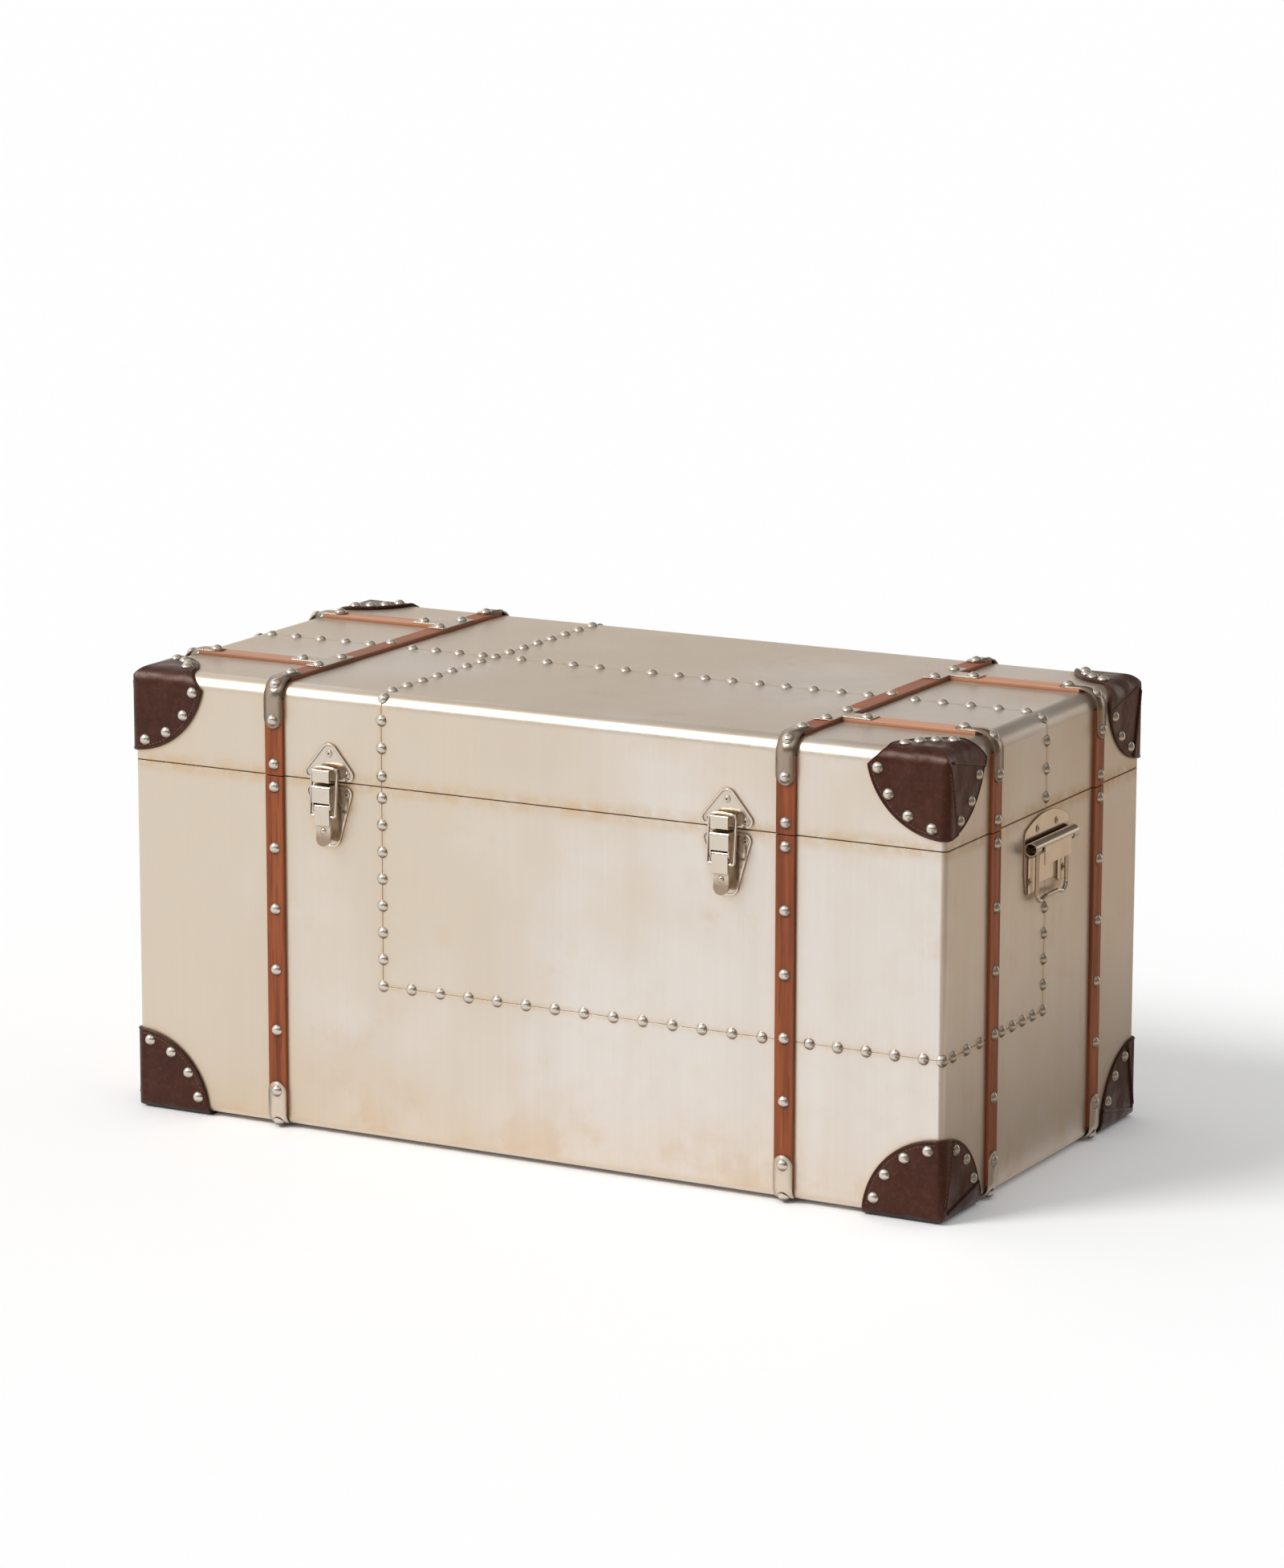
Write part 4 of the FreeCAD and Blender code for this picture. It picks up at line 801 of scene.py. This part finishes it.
def sewn(path, inset, pitch=0.0043, length=0.0031, radius=0.00042):
    """Capsules along a path at an even pitch, moved back from the rim by inset."""
    places, outward, normals = path
    places = places - outward * inset
    steps = np.linalg.norm(np.diff(places, axis=0), axis=1)
    run = np.concatenate([[0.0], np.cumsum(steps)])
    marks = np.arange(0.5 * pitch, run[-1], pitch)
    spots, out, lift = [np.stack([np.interp(marks, run, column) for column in part.T], -1)
                        for part in (places, outward, normals)]
    points, quads = capsule(length, radius)
    placed = spots[:, None]
    for column, direction in enumerate((np.cross(lift, out), lift, out)):
        placed = placed + points[None, :, column, None] * direction[:, None]
    faces = quads[None] + (np.arange(len(marks)) * len(points))[:, None, None]
    return placed.reshape(-1, 3), faces.reshape(-1, 4)


print("faces of one stitch:", len(capsule(1.0, 1.0)[1]))


# %% Mirrored meshes
def gathered(shapes):
    """Several meshes as one set of points and faces."""
    counts = np.cumsum([0] + [len(points) for points, quads in shapes])
    faces = [quads + start for (points, quads), start in zip(shapes, counts)]
    return np.concatenate([points for points, quads in shapes]), np.concatenate(faces)


def on_all_corners(points, quads):
    """The front right corner and its three mirrored copies; an odd mirror turns the faces round."""
    copies = []
    for sx, sy in ((1, 1), (-1, 1), (1, -1), (-1, -1)):
        faces = quads if sx * sy > 0 else quads[:, ::-1]
        copies.append((points * np.array([sx, sy, 1.0]), faces))
    return gathered(copies)


def mesh_object(name, points, quads, finish):
    """A smooth mesh object at the origin from arrays of points and four-sided faces."""
    mesh = bpy.data.meshes.new(name)
    mesh.from_pydata(points.tolist(), [], quads.tolist())
    mesh.polygons.foreach_set("use_smooth", np.ones(len(quads), dtype=bool))
    mesh.materials.append(finish)
    made = bpy.data.objects.new(name, mesh)
    bpy.context.scene.collection.objects.link(made)
    return made


print("a corner shape is copied", len(on_all_corners(*capsule(1.0, 1.0))[0]) // 24, "times")

# %% Rims and stitches
RIM_RADIUS, FOLD_RADIUS, SUNK = 0.0012, 0.0014, 0.45
STITCH_INSET, FOLD_STITCH_INSET = 0.0045, 0.0036


def corner_rim(lid):
    """The rolled rim of one corner and its two folds."""
    folds = [tube(fold_path(lid, index, 0.0, 0.05, 0.99, 24), FOLD_RADIUS, SUNK, 8) for index in (0, 1)]
    return gathered([tube(rim_path(lid), RIM_RADIUS, SUNK, 10)] + folds)


def corner_stitches(lid):
    """The stitches of one corner: both faces, both folds and, on the lid, the top."""
    seams = [sewn(front_arc(lid, CORNER_REACH, 60), STITCH_INSET),
             sewn(end_arc(lid, CORNER_REACH, 90), STITCH_INSET)]
    seams += [sewn(fold_path(lid, index, FOLD_STITCH_INSET, 0.10, 0.95, 24), 0.0) for index in (0, 1)]
    if lid:
        seams.append(sewn(top_arc(TOP_REACH, 60), STITCH_INSET))
    return gathered(seams)


for body, lid in (("body", False), ("lid", True)):
    roll = mesh_object(body + "_corner_rims", *on_all_corners(*corner_rim(lid)), MATERIALS["leather"])
    thread = mesh_object(body + "_corner_stitches", *on_all_corners(*corner_stitches(lid)), THREAD)
    for piece in (roll, thread):
        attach(piece, body)
    print(body, "rim faces:", len(roll.data.polygons), "stitch faces:", len(thread.data.polygons))

# %% [markdown]
# ## Floor and flags
#
# The trunk stands on a pale floor that runs out of the picture. A small share of plain white
# lifts it to the white of the background, except close under the trunk, where occlusion
# keeps the contact shadow. Metal shows what is round it, so grey flags stand above, behind,
# in front, at the right and low at the right, as in a photographer's studio. Only
# reflections see the flags; they keep the lid and the right end darker than the front.

# %% Floor
scene = bpy.context.scene
FLOOR_HALF = 60
FLOOR_PAPER = (0.97, 0.97, 0.97, 1)
FLOOR_GLOW, CONTACT_REACH = 0.16, 0.06
WHITE = (1, 1, 1, 1)


def level_card(x_from, x_to, y_from, y_to, z):
    """Corners of a level rectangle."""
    return [(x_from, y_from, z), (x_to, y_from, z), (x_to, y_to, z), (x_from, y_to, z)]


def stage_card(name, corners):
    """A flat four-cornered card that belongs to the studio, with an empty material."""
    mesh = bpy.data.meshes.new(name)
    mesh.from_pydata(corners, [], [(0, 1, 2, 3)])
    card = bpy.data.objects.new(name, mesh)
    scene.collection.objects.link(card)
    material = bpy.data.materials.new(name + "_paper")
    material.use_nodes = True
    material.node_tree.nodes.clear()
    mesh.materials.append(material)
    return card, material.node_tree


def seen_background(tree, share):
    """The share for rays that show the background: from the camera, off metal, through glass."""
    path = add(tree, "ShaderNodeLightPath")
    kinds = ("Is Camera Ray", "Is Transmission Ray", "Is Glossy Ray")
    return scaled(tree, highest(tree, *[path.outputs[kind] for kind in kinds]), share)


floor, tree = stage_card("floor", level_card(-FLOOR_HALF, FLOOR_HALF, -FLOOR_HALF, FLOOR_HALF, 0))
paper = add(tree, "ShaderNodeBsdfDiffuse", {"Color": FLOOR_PAPER})
glow = add(tree, "ShaderNodeEmission", {"Color": WHITE, "Strength": 1.0})
open_floor = add(tree, "ShaderNodeAmbientOcclusion", {"Distance": CONTACT_REACH}, samples=6).outputs["AO"]
shown = both(tree, seen_background(tree, FLOOR_GLOW), open_floor)
mixed = add(tree, "ShaderNodeMixShader", {0: shown, 1: paper.outputs[0], 2: glow.outputs[0]})
tree.links.new(mixed.outputs[0], add(tree, "ShaderNodeOutputMaterial").inputs["Surface"])
print("floor:", 2 * FLOOR_HALF, "m wide")


# %% Flags
def facing_card(x_from, x_to, y, z_from, z_to):
    """Corners of an upright rectangle across the depth."""
    return [(x_from, y, z_from), (x_to, y, z_from), (x_to, y, z_to), (x_from, y, z_to)]


def side_card(x, y_from, y_to, z_from, z_to):
    """Corners of an upright rectangle across the length."""
    return [(x, y_from, z_from), (x, y_to, z_from), (x, y_to, z_to), (x, y_from, z_to)]


# Each flag has its shade near the trunk, its shade farther right, its share of blue and its corners.
SHADE_NEAR, SHADE_FAR = 0.50, 1.00
FLAGS = {
    "flag_above": (0.48, 0.48, 0.88, level_card(-2.5, 6.0, -1.5, 2.5, 4.0)),
    "flag_high": (0.16, 0.16, 0.85, level_card(-2.5, 6.0, 2.5, 7.0, 4.0)),
    "flag_back_high": (0.14, 0.14, 0.85, facing_card(-6.0, 8.0, 7.0, 2.6, 4.0)),
    "flag_back": (1.0, 1.0, 0.84, facing_card(-6.0, 8.0, 7.0, 0.02, 2.6)),
    "flag_right": (0.16, 0.16, 0.80, side_card(3.5, -5.0, 6.0, 0.0, 3.6)),
    # flag_low is darker near the trunk: a painted shadow of the trunk on the floor, seen by the right end
    # in reflection.
    "flag_low": (0.23, 0.67, 0.65, level_card(0.48, 1.2, -3.0, 6.0, 0.003)),
    "flag_low_far": (0.40, 0.40, 0.61, level_card(1.2, 3.5, -3.0, 6.0, 0.003)),
    "flag_front": (0.14, 0.14, 0.90, facing_card(-5.0, 7.0, -7.0, 1.4, 4.6)),
}
for name, (near, far, blue, corners) in FLAGS.items():
    card, tree = stage_card(name, corners)
    across = axes(tree, add(tree, "ShaderNodeTexCoord").outputs["Object"])[0]
    shades = [(shade, shade * (1 + blue) / 2, shade * blue, 1) for shade in (near, far)]
    colour = blend(tree, ramp(tree, across, SHADE_NEAR, SHADE_FAR), *shades)
    cloth = add(tree, "ShaderNodeEmission", {"Color": colour, "Strength": 1.0})
    tree.links.new(cloth.outputs[0], add(tree, "ShaderNodeOutputMaterial").inputs["Surface"])
    card.visible_camera = False
    card.visible_diffuse = False
    card.visible_shadow = False
    card.visible_transmission = False
print("flags:", len(FLAGS))

# %% [markdown]
# ## Light
#
# One broad lamp, far off at the front left, stands for a large studio box: a sun lamp with a
# wide angle gives its soft shadow and lights the floor evenly. The world fills in with grey
# and shows white as background.

# %% Light
KEY_PLACE, KEY_TARGET = (-3.0, -3.6, 4.6), (0, 0, 0.2)
KEY_ENERGY, KEY_ANGLE = 1.95, 23
FILL = 0.60


def aimed(made, place, target):
    """Turns a lamp so that it shines from place to target."""
    aim = np.array(target, float) - np.array(place, float)
    tilt = math.acos(-aim[2] / np.linalg.norm(aim))
    made.location = place
    made.rotation_euler = (tilt, 0, math.atan2(aim[1], aim[0]) - math.pi / 2)
    scene.collection.objects.link(made)


key_lamp = bpy.data.lights.new("key", "SUN")
key_lamp.energy = KEY_ENERGY
key_lamp.angle = math.radians(KEY_ANGLE)
aimed(bpy.data.objects.new("key", key_lamp), KEY_PLACE, KEY_TARGET)

world = bpy.data.worlds.new("studio")
scene.world = world
world.use_nodes = True
sky = world.node_tree
sky.nodes.clear()
white = add(sky, "ShaderNodeBackground", {"Color": WHITE, "Strength": 1.0})
grey = add(sky, "ShaderNodeBackground", {"Color": WHITE, "Strength": FILL})
backdrop = {0: seen_background(sky, 1.0), 1: grey.outputs[0], 2: white.outputs[0]}
mixed = add(sky, "ShaderNodeMixShader", backdrop)
sky.links.new(mixed.outputs[0], add(sky, "ShaderNodeOutputWorld").inputs["Surface"])
print("key lamp:", KEY_ENERGY, "at", KEY_ANGLE, "degrees wide; fill:", FILL)

# %% [markdown]
# ## Camera
#
# The edges of the trunk in the photograph give the place, the turn and the lens of the camera.
# It looks down a little from the front right, with a long lens.

# %% Camera
AZIMUTH, ELEVATION, ROLL = (math.radians(angle) for angle in (28.332, 11.910, 0.095))
CAMERA_PLACE = (2.5982, -4.8056, 1.4913)
LENS_MM, SENSOR_MM, FAR_CLIP = 127.78, 36.0, 120.0
outward = math.cos(ELEVATION)
back = np.array([math.sin(AZIMUTH) * outward, -math.cos(AZIMUTH) * outward, math.sin(ELEVATION)])
level_right = np.array([math.cos(AZIMUTH), math.sin(AZIMUTH), 0.0])
level_up = np.cross(back, level_right)
right = math.cos(ROLL) * level_right + math.sin(ROLL) * level_up
up = -math.sin(ROLL) * level_right + math.cos(ROLL) * level_up
lens = bpy.data.cameras.new("camera")
lens.lens = LENS_MM
lens.sensor_width = SENSOR_MM
lens.clip_end = FAR_CLIP
camera = bpy.data.objects.new("camera", lens)
matrix = np.eye(4)
matrix[:3] = np.stack([right, up, back, CAMERA_PLACE], -1)
camera.matrix_world = Matrix(matrix.tolist())
scene.collection.objects.link(camera)
scene.camera = camera
scene.view_settings.view_transform = "Standard"
print("camera:", CAMERA_PLACE, "with a", LENS_MM, "mm lens")
